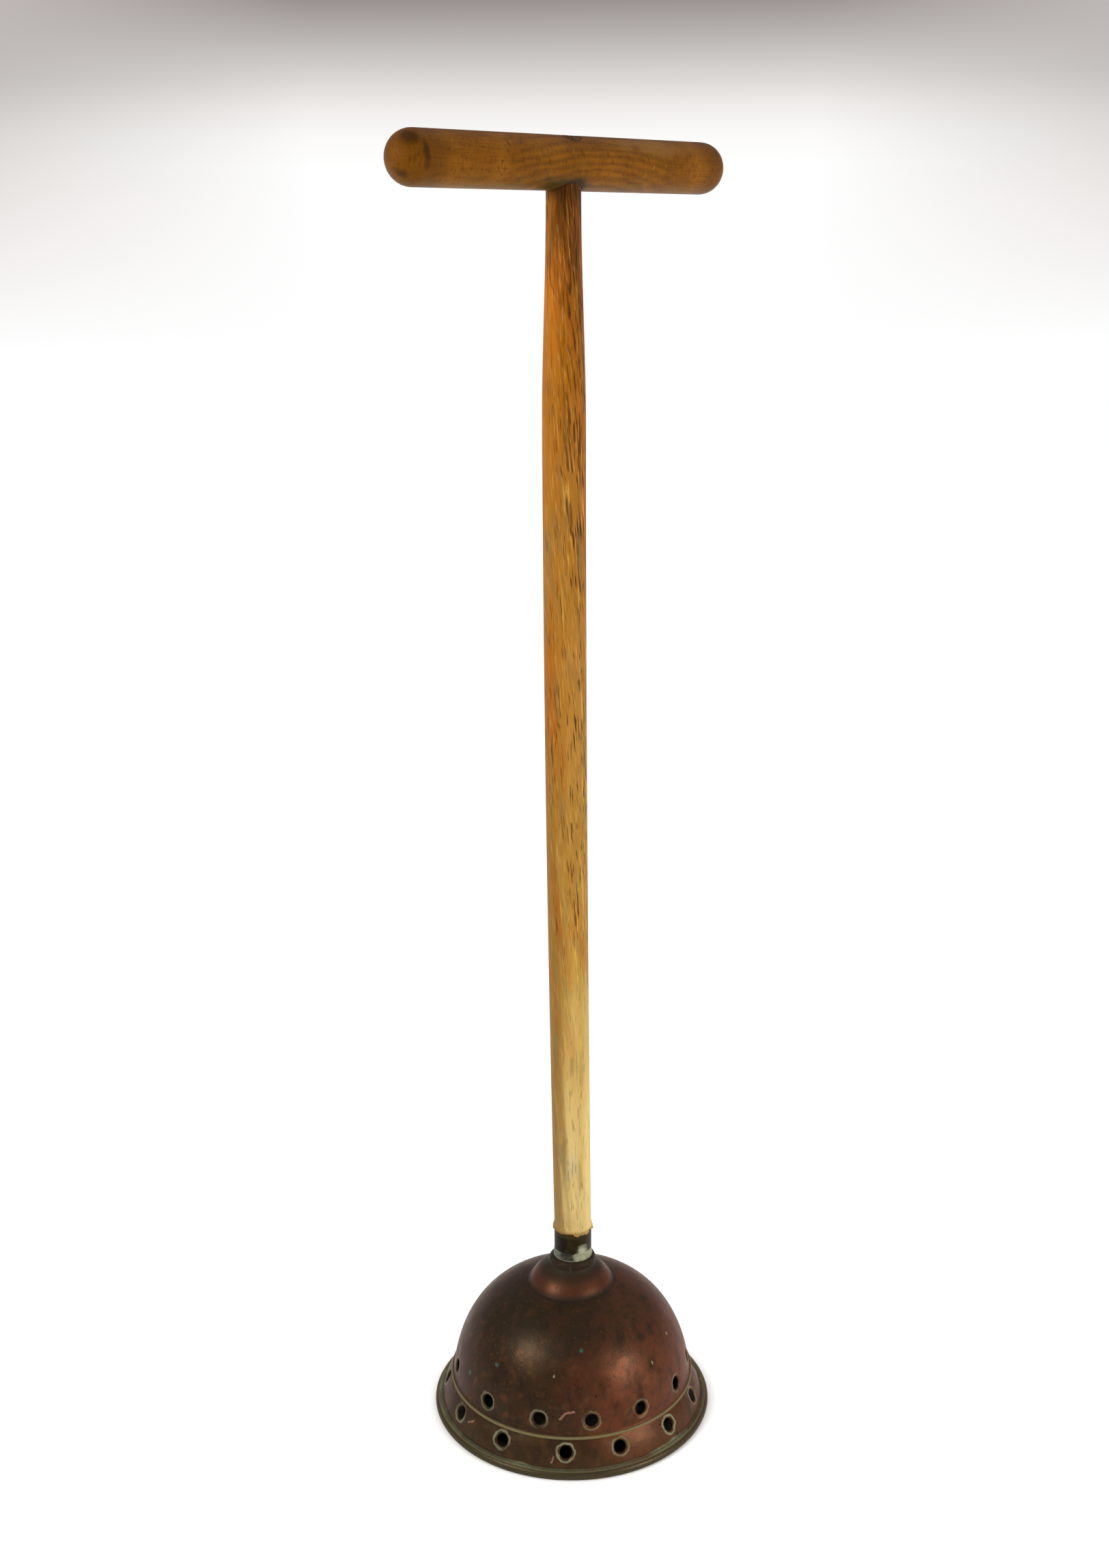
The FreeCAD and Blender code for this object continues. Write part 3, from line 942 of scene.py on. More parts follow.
@dataclass
class PunchedSheet:
    """A sheet of revolution with one row of drawn-in holes, modelled as one sector and copied round."""

    first: float
    drifts: tuple[float, ...]
    columns: int = 10
    reach: int = 2
    mouth_radius: float = 5.95
    border_reach: float = 11.2
    thickness: float = 0.8
    row_slack: float = 0.05
    calm_share: float = 0.2                     # of a sector, on each side, that turns with its hole
    funnel: Pairs = ((5.3, 0.1), (4.85, 0.25), (4.45, 0.5), (4.15, 0.85), (4.05, 1.3))

    def step(self) -> float:
        """Return the angle of one sector."""
        return math.tau / len(self.drifts)

    def build(self, name: str, outline: Outline, row: int) -> Piece:
        """Model the sector, punch its hole, copy it round and give the sheet its wall.

        Args:
            name: the new piece's name.
            outline: radius and height, from the foot up.
            row: which outline point is the hole's middle.

        Returns:
            The finished sheet.
        """
        start = self.first - self.step() / 2
        piece = draw_chain(name, [polar(radius, start, height) for radius, height in outline])
        with editing(piece, "SELECT"):
            bpy.ops.mesh.spin(steps=self.columns, angle=-self.step(), center=ORIGIN, axis=UP)
            self.punch(piece, outline, row)
            bpy.ops.mesh.select_all(action="SELECT")
            bpy.ops.mesh.spin(steps=len(self.drifts) - 1, angle=self.step() - math.tau, dupli=True,
                              center=ORIGIN, axis=UP)
            close_up()
        self.drift(piece)
        finish_with(piece, "SOLIDIFY", thickness=self.thickness * MM, offset=-1.0, material_offset=1,
                    material_offset_rim=0)
        finish_with(piece, "SUBSURF", levels=1, render_levels=1)
        smooth(piece)
        centres = [polar(outline[row][0], azimuth, outline[row][1]) / MM for azimuth in self.azimuths()]
        near = 2 * self.mouth_radius
        mark(piece, "hole_mm", lambda place: min((place - centre).length for centre in centres)
             if abs(place.z - outline[row][1]) < near else near)
        return piece

    def azimuths(self) -> list[float]:
        """Return where the holes really are, in radians."""
        return [self.first + self.step() * hole + math.radians(drift)
                for hole, drift in enumerate(self.drifts)]

    def punch(self, piece: Piece, outline: Outline, row: int) -> None:
        """Open one hole, round its edge and draw the sheet inwards as a funnel.

        Args:
            piece: the sector, in edit mode.
            outline: radius and height, from the foot up.
            row: which outline point is the hole's middle.
        """
        low, high = outline[row - self.reach][1], outline[row + self.reach][1]
        half = self.reach * self.step() / self.columns
        select(piece, Pick.FACES, lambda middle: low < middle.z < high
               and abs(math.remainder(math.atan2(middle.y, middle.x) - self.first, math.tau)) < half)
        bpy.ops.mesh.delete(type="FACE")
        centre = polar(outline[row][0], self.first, outline[row][1])
        below, above = outline[row - 1], outline[row + 1]
        inward = polar(below[1] - above[1], self.first, above[0] - below[0]).normalized()
        bpy.ops.mesh.select_mode(type="VERT")
        bpy.ops.mesh.select_all(action="DESELECT")
        mesh = bmesh.from_edit_mesh(piece.data)
        for vertex in mesh.verts:
            near = (vertex.co - centre).length < self.border_reach * MM
            level = low - self.row_slack < vertex.co.z / MM < high + self.row_slack
            if vertex.is_boundary and near and level:
                vertex.select_set(True)
        mesh.select_flush(True)
        bmesh.update_edit_mesh(piece.data)
        bpy.ops.transform.tosphere(value=1.0)
        mesh = bmesh.from_edit_mesh(piece.data)
        rim = [vertex.co for vertex in mesh.verts if vertex.select]
        middle = sum(rim, Vector()) / len(rim)
        radius = sum((place - middle).length for place in rim) / len(rim) / MM
        bpy.ops.transform.resize(value=[self.mouth_radius / radius] * 3, center_override=middle)
        radius, depth = self.mouth_radius, 0.0
        for next_radius, next_depth in self.funnel:
            stretch_on(inward * (next_depth - depth) * MM, (next_radius / radius,) * 3,
                       middle + inward * next_depth * MM)
            radius, depth = next_radius, next_depth

    def drift(self, piece: Piece) -> None:
        """Turn each hole, with the sheet beside it, to where the punch really struck.

        Args:
            piece: the sheet with its even row.
        """
        groups: dict[float, list[int]] = {}
        for vertex in piece.data.vertices:
            turned = (math.atan2(vertex.co.y, vertex.co.x) - self.first) / self.step()
            hole = math.floor(turned)
            here, following = (self.drifts[place % len(self.drifts)] for place in (hole, hole + 1))
            share = eased((turned - hole - self.calm_share) / (1 - 2 * self.calm_share))
            groups.setdefault(round(here + (following - here) * share, 2), []).append(vertex.index)
        with editing(piece):
            for angle, members in groups.items():
                bpy.ops.mesh.select_all(action="DESELECT")
                mesh = bmesh.from_edit_mesh(piece.data)
                mesh.verts.ensure_lookup_table()
                for index in members:
                    mesh.verts[index].select_set(True)
                bmesh.update_edit_mesh(piece.data)
                bpy.ops.transform.rotate(value=-math.radians(angle), orient_axis="Z", center_override=ORIGIN)


def stations(curve: Outline, marks: list[float]) -> Outline:
    """Return the points of a finely drawn curve at the given lengths along it.

    Args:
        curve: points of radius and height.
        marks: lengths from the curve's start.

    Returns:
        One point for each mark.
    """
    lengths = [0.0]
    for (r0, z0), (r1, z1) in zip(curve, curve[1:]):
        lengths.append(lengths[-1] + math.hypot(r1 - r0, z1 - z0))
    points = []
    place = 0
    for length in marks:
        while place < len(lengths) - 2 and lengths[place + 1] < length:
            place += 1
        share = (length - lengths[place]) / (lengths[place + 1] - lengths[place])
        (r0, z0), (r1, z1) = curve[place], curve[place + 1]
        points.append((r0 + (r1 - r0) * share, z0 + (z1 - z0) * share))
    return points


def length_at(curve: Outline, height: float) -> float:
    """Return the length along a curve at which it first passes a height.

    Args:
        curve: points of radius and height.
        height: the height to find.

    Returns:
        The length from the curve's start.
    """
    length = 0.0
    for (r0, z0), (r1, z1) in zip(curve, curve[1:]):
        if min(z0, z1) <= height <= max(z0, z1):
            return length + math.hypot(r1 - r0, z1 - z0) * abs((height - z0) / (z1 - z0))
        length += math.hypot(r1 - r0, z1 - z0)
    raise ValueError(f"the curve never passes {height}")


def arc_points(start: tuple[float, float], end: tuple[float, float], bulge: float, count: int) -> Outline:
    """Return points from start to end on an arc that swells outwards by bulge.

    Args:
        start: first radius and height.
        end: last radius and height.
        bulge: distance of the arc's middle from the chord.
        count: number of stretches.

    Returns:
        The points, both ends included.
    """
    chord = Vector(end) - Vector(start)
    normal = Vector((chord.y, -chord.x)).normalized()
    if normal.x < 0:
        normal.negate()
    radius = (chord.length ** 2 / 4 + bulge ** 2) / (2 * bulge)
    centre = (Vector(start) + Vector(end)) / 2 + normal * (bulge - radius)
    first = math.atan2(start[1] - centre.y, start[0] - centre.x)
    last = math.atan2(end[1] - centre.y, end[0] - centre.x)
    angles = [first + (last - first) * step / count for step in range(count + 1)]
    return [(centre.x + radius * math.cos(angle), centre.y + radius * math.sin(angle)) for angle in angles]


def swept(start: tuple[float, float], corner: tuple[float, float], end: tuple[float, float],
          count: int) -> Outline:
    """Return points between start and end on a soft curve that rounds off a corner.

    Args:
        start: radius and height where the curve begins.
        corner: radius and height of the corner.
        end: radius and height where the curve ends.
        count: number of stretches.

    Returns:
        The points, without both ends.
    """
    points = []
    for step in range(1, count):
        share = step / count
        weights = ((1 - share) ** 2, 2 * share * (1 - share), share ** 2)
        points.append(tuple(sum(weight * point[axis] for weight, point in zip(weights, (start, corner, end)))
                            for axis in (0, 1)))
    return points


@dataclass
class BellDome:
    """The spun dome with its boss and neck, and the row of holes above the seam."""

    seam_radius: float = 82.1
    seam_height: float = 23.6
    lip_radius: float = 83.1
    lip_top: float = 24.8
    crown_height: float = 94.8
    widest_height: float = -2.7
    squareness: float = 2.54
    curve_steps: int = 900
    lip_gap: float = 0.7
    lip_fold: Pairs = ((0.0, 0.0), (0.5, 0.02), (0.9, 0.15))
    boss_radius: float = 28.4
    boss_lift: float = 0.75
    boss_tuck: float = 0.5
    boss_steps: int = 8
    boss_rise: float = 13.4
    boss_shoulder: tuple[float, float] = (24.9, 6.6)
    boss_sweep: float = 0.9
    sweep_corner: float = 0.1
    sweep_steps: int = 4
    neck_radius: float = 15.7
    neck_foot: float = 1.0
    neck_rise: float = 6.1
    neck_edge: Pairs = ((0.0, -3.4), (0.25, -2.4), (0.8, -1.5), (1.8, -0.5), (2.7, -0.05))
    lean_foot: float = 105.6
    lean_steps: int = 6
    bore_radius: float = 11.1
    hole_height: float = 34.5
    first_hole: float = math.radians(6.3)
    drifts: tuple[float, ...] = (-3.8, -5.1, -6.4, -7.8, -9.2, -10.5, -11.9, -3.4, -0.3, -1.0, -1.2, 0.2,
                                 -1.1, -2.5)

    def point(self, angle: float) -> tuple[float, float]:
        """Return a point of the dome's curve.

        Args:
            angle: 0 is the dome's widest level and a quarter turn its crown.

        Returns:
            The point's radius and height.
        """
        rise = self.crown_height - self.widest_height
        level = ((self.seam_height - self.widest_height) / rise) ** self.squareness
        half_width = self.seam_radius / (1 - level) ** (1 / self.squareness)
        power = 2 / self.squareness
        return half_width * math.cos(angle) ** power, self.widest_height + rise * math.sin(angle) ** power

    def curve(self) -> Outline:
        """Return the dome's curve in fine steps, from above the lip to the sweep into the boss."""
        points = [self.point(math.pi / 2 * step / self.curve_steps) for step in range(self.curve_steps)]
        inner = self.boss_radius + self.boss_sweep
        return [point for point in points if point[1] > self.lip_top + self.lip_gap and point[0] > inner]

    def outline(self, sheet: PunchedSheet) -> tuple[Outline, int]:
        """Outline the dome with its lip, boss and neck.

        Args:
            sheet: gives the spacing of the rows.

        Returns:
            The outline from the lip to the bore, and the row of the holes' middles.
        """
        curve = self.curve()
        pitch = self.seam_radius * sheet.step() / sheet.columns
        middle = length_at(curve, self.hole_height)
        total = length_at(curve, curve[-1][1])
        marks = [0.0]
        marks += [middle + pitch * step for step in range(-sheet.reach, sheet.reach + 1)]
        count = round((total - marks[-1]) / pitch)
        marks += [marks[-1] + (total - marks[-1]) * step / count for step in range(1, count + 1)]
        lip = [(self.lip_radius - inward, self.lip_top + rise) for inward, rise in self.lip_fold]
        dome = stations(curve, marks)
        foot_z = curve[-1][1] + self.boss_lift
        top = (self.neck_radius, foot_z + self.boss_rise)
        foot = (self.boss_radius - self.boss_tuck, foot_z + self.boss_sweep)
        shoulder = (self.boss_shoulder[0], foot_z + self.boss_shoulder[1])
        boss = [foot] + swept(foot, shoulder, top, self.boss_steps) + [top]
        sweep = swept(dome[-1], (self.boss_radius + self.sweep_corner, foot_z), boss[0], self.sweep_steps)
        neck_top = top[1] + self.neck_rise
        neck = [(self.neck_radius, top[1] + self.neck_foot)]
        neck += [(self.neck_radius - inward, neck_top + rise) for inward, rise in self.neck_edge]
        neck += [(self.bore_radius, neck_top)]
        return lip + dome + sweep + boss + neck, len(lip) + marks.index(middle)

    def build(self, outside: Material, inside: Material) -> Piece:
        """Model the dome and dress it.

        Args:
            outside: the weathered finish.
            inside: the finish of the inner skin.

        Returns:
            The dome.
        """
        sheet = PunchedSheet(self.first_hole, self.drifts)
        piece = sheet.build("dome_sheet", *self.outline(sheet))
        with editing(piece):
            for step in range(self.lean_steps):
                select(piece, Pick.VERTICES, lambda place: place.z > self.lean_foot + step)
                bpy.ops.transform.translate(value=LIT_SIDE * FOOT_LEAN / self.lean_steps * MM)
        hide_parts("bell_dome")
        return dress(piece, "bell_copper", outside, inside)


@dataclass
class BellSkirt:
    """The flared skirt with its row of holes, the folded seam above it and the rolled rim below."""

    seam_radius: float = 82.1
    seam_height: float = 23.6
    flange_inner: float = 78.1
    top_height: float = 23.2
    bulge: float = 1.2
    roll_radius: float = 3.0
    roll_circle: float = 92.0
    roll_height: float = 2.5
    roll_overlap: float = 0.4
    landing_angle: float = math.radians(125)
    curve_steps: int = 200
    hole_circle: float = 86.0
    top_margin: float = 0.001
    flange_fold: float = 0.5
    hole_height: float = 15.8
    first_hole: float = math.radians(19.2)
    drifts: tuple[float, ...] = (-4.3, -5.5, -6.6, -7.7, -8.9, -10.0, -6.8, -4.5, -0.4, -1.7, -0.1, -1.0,
                                 -2.1, -3.2)
    seam_half_height: float = 1.0
    seam_half_width: float = 0.95
    seam_offset: float = 0.55
    seam_sides: int = 12
    roll_sides: int = 20
    turn_steps: int = 196

    def outline(self, sheet: PunchedSheet) -> tuple[Outline, int]:
        """Outline the skirt.

        Args:
            sheet: gives the spacing of the rows.

        Returns:
            The outline from the roll up to the flange, and the row of the holes' middles.
        """
        landing_radius = self.roll_radius - self.roll_overlap
        foot = (self.roll_circle + landing_radius * math.cos(self.landing_angle),
                self.roll_height + landing_radius * math.sin(self.landing_angle))
        curve = arc_points(foot, (self.seam_radius, self.top_height), self.bulge, self.curve_steps)
        pitch = self.hole_circle * sheet.step() / sheet.columns
        middle = length_at(curve, self.hole_height)
        marks = [0.0, (middle - sheet.reach * pitch) / 2]
        marks += [middle + pitch * step for step in range(-sheet.reach, sheet.reach + 1)]
        marks += [length_at(curve, self.top_height - self.top_margin)]
        flange = [(radius, self.top_height) for radius in (self.seam_radius - self.flange_fold,
                                                           self.flange_inner)]
        return stations(curve, marks) + flange, marks.index(middle)

    def build(self, outside: Material, inside: Material) -> list[Piece]:
        """Model the skirt, the rolled rim and the folded seam, and dress them.

        Args:
            outside: the weathered finish.
            inside: the finish of the inner skin.

        Returns:
            The three pieces.
        """
        sheet = PunchedSheet(self.first_hole, self.drifts)
        skirt = sheet.build("skirt_sheet", *self.outline(sheet))
        pieces = [skirt, self.roll(), self.seam()]
        for piece in pieces[1:]:
            mark(piece, "hole_mm", lambda place: 2 * sheet.mouth_radius)
        for piece in pieces:
            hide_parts("bell_skirt")
            dress(piece, "bell_copper", outside, inside)
        return pieces

    def roll(self) -> Piece:
        """Roll the rim's edge round its wire and wear its foot flat."""
        piece = new_piece("rim_roll", "torus", major_radius=self.roll_circle * MM,
                          minor_radius=self.roll_radius * MM, major_segments=self.turn_steps,
                          minor_segments=self.roll_sides, location=mm(0, 0, self.roll_height))
        bpy.ops.object.transform_apply(location=True, rotation=True, scale=True)
        with editing(piece):
            select(piece, Pick.VERTICES, lambda place: place.z < 0)
            bpy.ops.transform.resize(value=(1, 1, 0), center_override=ORIGIN)
        smooth(piece, 50)
        return piece

    def seam(self) -> Piece:
        """Fold the skirt's edge over the dome's lip as one rounded bead."""
        centre = self.seam_radius + self.seam_offset
        outline = []
        for side in range(self.seam_sides):
            angle = math.tau * side / self.seam_sides
            outline.append((centre + self.seam_half_width * math.cos(angle),
                            self.seam_height + self.seam_half_height * math.sin(angle)))
        piece = turn("seam_fold", outline, self.turn_steps)
        smooth(piece)
        return piece


# Socket, shaft and crossbar

@dataclass
class SocketTube:
    """The iron socket with the solder wiped round its foot."""

    wall: float = 1.0
    edge: float = 0.25
    steps: int = 64
    rows: int = 12
    lumps: float = 0.22
    lumps_from: float = 0.1
    wipe: Pairs = ((-0.2, -0.2), (0.7, 0.0), (0.62, 0.5), (0.4, 1.7), (0.25, 3.0), (0.15, 4.6), (0.02, 6.2),
                   (-0.2, 6.2))

    def build(self, iron: Material, solder: Material) -> list[Piece]:
        """Model the tube and its solder, and dress them.

        Args:
            iron: the tube's finish.
            solder: the finish of the ring round its foot.

        Returns:
            The tube and the ring.
        """
        low, high = box_mm("socket_tube")
        radius = high.x
        inner = radius - self.wall
        heights = [low.z + (high.z - self.edge - low.z) * row / self.rows for row in range(self.rows + 1)]
        outline = [(radius, height) for height in heights]
        outline += [(radius - self.edge, high.z), (inner + self.edge, high.z)]
        outline += [(inner, height) for height in reversed(heights)]
        tube = turn("socket_sleeve", outline, self.steps)
        foot = box_mm("solder_collar")[0].z
        ring = turn("solder_wipe", [(radius + out, foot + up) for out, up in self.wipe], self.steps)
        with editing(ring):
            select(ring, Pick.VERTICES, lambda place: math.hypot(place.x, place.y) > radius + self.lumps_from)
            bpy.ops.transform.vertex_random(offset=self.lumps * MM, uniform=0.4, normal=0.6, seed=6)
        finish_with(ring, "SUBSURF", levels=1, render_levels=1)
        for piece in (tube, ring):
            with editing(piece, "SELECT"):
                bpy.ops.transform.translate(value=LIT_SIDE * FOOT_LEAN * MM)
        smooth(tube, 50)
        smooth(ring)
        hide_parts("socket_tube")
        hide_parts("solder_collar")
        return [dress(tube, "socket_iron", iron), dress(ring, "soft_solder", solder)]


@dataclass
class Shaft:
    """The turned ash shaft, a little bowed, with its foot frayed over the socket's mouth."""

    foot_radius: float = 12.45
    belly_radius: float = 13.25
    tenon_radius: float = 10.3
    belly_height: float = 560.0
    fullness: float = 0.9
    taper_length: float = 138.0
    bow: float = 1.65
    sides: int = 96
    foot_rises: tuple[float, ...] = (-0.4, 0.7, 1.8, 3.2, 5.0, 7.5, 11.0)
    long_rows: int = 30
    taper_rows: int = 14
    proud: float = 2.0
    foot_spread: Pairs = ((4.2, 1.015), (2.4, 1.03))
    tuft_sides: tuple[int, int] = (2, 6)
    tuft_drop: tuple[float, float] = (-0.6, 1.6)
    tuft_flare: tuple[float, float] = (0.0, 1.5)
    tip_drop: tuple[float, float] = (-0.5, 0.6)
    tip_rows: Pairs = ((1.2, 1.0), (2.2, 0.45))
    notch: float = math.radians(-155.6)
    notch_half: float = 0.1
    notch_rise: float = 2.4
    cutter_half: float = 14.0
    cutter_depth: tuple[float, float] = (-0.05, 9.0)
    cutter_steps: int = 64

    def radius(self, height: float, foot: float, shoulder: float) -> float:
        """Return the shaft's radius at a height.

        Args:
            height: where.
            foot: height of the shaft's foot.
            shoulder: height of the crossbar's underside.

        Returns:
            The radius in millimetres.
        """
        taper_foot = shoulder - self.taper_length
        if height > taper_foot:
            share = eased((height - taper_foot) / self.taper_length)
            return self.belly_radius + (self.tenon_radius - self.belly_radius) * share
        share = min((height - foot) / (self.belly_height - foot), 1.0)
        swell = math.sin(share * math.pi / 2) ** self.fullness
        return self.foot_radius + (self.belly_radius - self.foot_radius) * swell

    def centre(self, height: float, foot: float, axis: float) -> Vector:
        """Return the middle of the bowed shaft at a height.

        Args:
            height: where.
            foot: height of the shaft's foot.
            axis: height of the crossbar's axis.

        Returns:
            The middle, in metres.
        """
        share = min(max((height - foot) / (axis - foot), 0.0), 1.0)
        lean = FOOT_LEAN * (1 - share) - self.bow * math.sin(share * math.pi)
        return (LIT_SIDE * lean + Vector((0, 0, height))) * MM

    def build(self, ash: Material) -> Piece:
        """Model the shaft ring by ring, fray its foot, trim its tenon and dress it.

        Args:
            ash: the finish.

        Returns:
            The shaft.
        """
        foot = box_mm("socket_tube")[1].z
        low, high = box_mm("crossbar")
        axis, bar_radius = (low.z + high.z) / 2, (high.z - low.z) / 2
        middle = low.z - self.taper_length
        heights = [foot + rise for rise in self.foot_rises]
        heights += linspace(heights[-1], middle, self.long_rows) + linspace(middle, axis, self.taper_rows)
        heights += [high.z + self.proud]
        piece = new_piece("shaft_ash", "circle", vertices=self.sides, radius=self.foot_radius * MM,
                          fill_type="NGON", location=ORIGIN)
        with editing(piece, "SELECT"):
            place = self.centre(heights[0], foot, axis)
            bpy.ops.transform.translate(value=place)
            radius = self.foot_radius
            for height in heights[1:]:
                following = self.centre(height, foot, axis)
                wider = self.radius(max(height, foot), foot, low.z) / radius
                stretch_on(following - place, (wider, wider, 1), following)
                place, radius = following, radius * wider
            close_up()
        self.fray_foot(piece, foot)
        self.trim_tenon(piece, axis, bar_radius)
        smooth(piece, 50)
        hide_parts("shaft")
        return dress(piece, "shaft_ash", ash)

    def fray_foot(self, piece: Piece, foot: float) -> None:
        """Spread the foot over the socket's mouth and break its edge into tufts of uneven width.

        Args:
            piece: the shaft.
            foot: height of the socket's mouth.
        """
        chance = random.Random(12)
        half = math.pi / self.sides * 1.05
        middle = LIT_SIDE * FOOT_LEAN
        with editing(piece):
            for rise, spread in self.foot_spread:
                select(piece, Pick.VERTICES, lambda place: place.z < foot + rise)
                bpy.ops.transform.resize(value=(spread, spread, 1), center_override=middle * MM)
            side = 0
            while side < self.sides:
                width = chance.randint(*self.tuft_sides)
                drop, flare = chance.uniform(*self.tuft_drop), chance.uniform(*self.tuft_flare)
                for column in range(side, min(side + width, self.sides)):
                    azimuth = math.tau * column / self.sides
                    tip = drop + chance.uniform(*self.tip_drop)
                    if abs(math.remainder(azimuth - self.notch, math.tau)) < self.notch_half:
                        tip = -self.notch_rise
                    for rise, share in self.tip_rows:
                        top = foot + rise
                        select(piece, Pick.VERTICES, lambda place: place.z < top and abs(math.remainder(
                            math.atan2(place.y - middle.y, place.x - middle.x) - azimuth, math.tau)) < half)
                        bpy.ops.transform.translate(value=polar(flare * share / 2, azimuth, -tip * share / 2))
                side += width

    def trim_tenon(self, piece: Piece, axis: float, bar_radius: float) -> None:
        """Trim the tenon's end to the crossbar's round.

        Args:
            piece: the shaft, with its end standing proud.
            axis: height of the crossbar's axis.
            bar_radius: the crossbar's radius.
        """
        half = self.cutter_half
        inner, outer = (bar_radius + depth for depth in self.cutter_depth)
        corners = [mm(x, -y, axis) for x, y in ((-half, inner), (half, inner), (half, outer), (-half, outer))]
        cutter = draw_chain("cutter", corners + corners[:1])
        with editing(cutter, "SELECT"):
            bpy.ops.mesh.remove_doubles(threshold=WELD)
            bpy.ops.mesh.edge_face_add()
            bpy.ops.mesh.spin(steps=self.cutter_steps, angle=math.pi, center=mm(0, 0, axis), axis=ALONG_BAR)
            close_up()
        finish_with(piece, "BOOLEAN", object=cutter, operation="DIFFERENCE", solver="EXACT")
        bpy.data.objects.remove(cutter)


@dataclass
class Crossbar:
    """The turned grip, bored for the tenon, with soft ends."""

    sides: int = 64
    bore_gap: float = 0.2
    end_flat: float = 1.5
    end_squareness: tuple[float, float] = (2.05, 2.35)
    end_wear: float = 1.6
    end_steps: int = 10
    rows: int = 24
    drill_length: float = 3.0                   # bar radii

    def build(self, wood: Material, end_wood: Material) -> list[Piece]:
        """Model the bar and dress it and its wedge.

        Args:
            wood: the bar's finish.
            end_wood: the wedge's finish.

        Returns:
            The bar and the wedge.
        """
        low, high = box_mm("crossbar")
        radius = (high.z - low.z) / 2
        axis = (high.z + low.z) / 2
        left, right = (self.end_rings(high.x - wear, radius, squareness)
                       for squareness, wear in zip(self.end_squareness, (self.end_wear, 0.0)))
        start, stop = -left[-1][0], right[-1][0]
        rings = [(-x, r) for x, r in left]
        rings += [(x, radius) for x in linspace(start, stop, self.rows)[:-1]]
        rings += list(reversed(right))
        piece = new_piece("crossbar_grip", "circle", vertices=self.sides, radius=rings[0][1] * MM,
                          fill_type="NGON", location=ORIGIN)
        with editing(piece, "SELECT"):
            bpy.ops.transform.rotate(value=math.pi / 2, orient_axis="Y", center_override=ORIGIN)
            bpy.ops.transform.translate(value=mm(rings[0][0], 0, axis))
            for (x0, r0), (x1, r1) in zip(rings, rings[1:]):
                stretch_on(mm(x1 - x0, 0, 0), (1, r1 / r0, r1 / r0), mm(x1, 0, axis))
            close_up()
        self.bore(piece, axis, radius)
        smooth(piece, 40)
        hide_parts("crossbar")
        return [dress(piece, "bar_wood", wood), dress(frame["nodes"]["tenon_wedge"], "wedge_wood", end_wood)]

    def end_rings(self, tip: float, radius: float, squareness: float) -> Outline:
        """Return the distance from the joint and the radius of an end's rings, from its tip inwards.

        Args:
            tip: the end's distance from the joint.
            radius: the bar's radius.
            squareness: 2 gives half a ball and more gives a squarer end.

        Returns:
            One pair for each ring.
        """
        rounding = radius - self.end_flat / 2
        rings = []
        for step in range(self.end_steps + 1):
            angle = math.pi / 2 * (1 - step / self.end_steps)
            rings.append((tip - rounding * (1 - math.sin(angle) ** (2 / squareness)),
                          self.end_flat / 2 + rounding * math.cos(angle) ** (2 / squareness)))
        return rings

    def bore(self, piece: Piece, axis: float, radius: float) -> None:
        """Bore the bar for the shaft's tenon.

        Args:
            piece: the bar.
            axis: height of its axis.
            radius: its radius.
        """
        drill = new_piece("drill", "cylinder", vertices=self.sides, depth=self.drill_length * radius * MM,
                          radius=(Shaft.tenon_radius + self.bore_gap) * MM, location=mm(0, 0, axis))
        finish_with(piece, "BOOLEAN", object=drill, operation="DIFFERENCE", solver="EXACT")
        bpy.data.objects.remove(drill)


# Camera and studio

@dataclass
class Camera:
    """The viewpoint, measured from the rim, the crossbar and the shaft in the photograph."""

    distance: float = 1106.6
    height: float = 762.9
    turned: float = 42.626
    pitch: float = 16.011
    pan: float = -0.430
    roll: float = -0.504
    lens: float = 41.71
    sensor: float = 36.0
    sight: float = 50.0                         # metres

    def build(self) -> Piece:
        """Stand the camera at its place and make it the scene's own."""
        pitch, pan, roll, turned = (math.radians(value)
                                    for value in (self.pitch, self.pan, self.roll, self.turned))
        ahead = Vector((math.sin(pan) * math.cos(pitch), math.cos(pan) * math.cos(pitch), -math.sin(pitch)))
        level = Vector((math.cos(pan), -math.sin(pan), 0))
        above = level.cross(ahead)
        right = level * math.cos(roll) + above * math.sin(roll)
        up = above * math.cos(roll) - level * math.sin(roll)
        matrix = Matrix.Rotation(-turned, 4, "Z") @ Matrix((right, up, -ahead)).transposed().to_4x4()
        place = Matrix.Rotation(-turned, 3, "Z") @ mm(0, -self.distance, self.height)
        bpy.ops.object.select_all(action="DESELECT")
        bpy.ops.object.camera_add()
        camera = bpy.context.object
        camera.name = "camera"
        camera.matrix_world = Matrix.Translation(place) @ matrix
        camera.data.sensor_width = self.sensor
        camera.data.lens = self.lens
        camera.data.clip_end = self.sight
        bpy.context.scene.camera = camera
        return camera


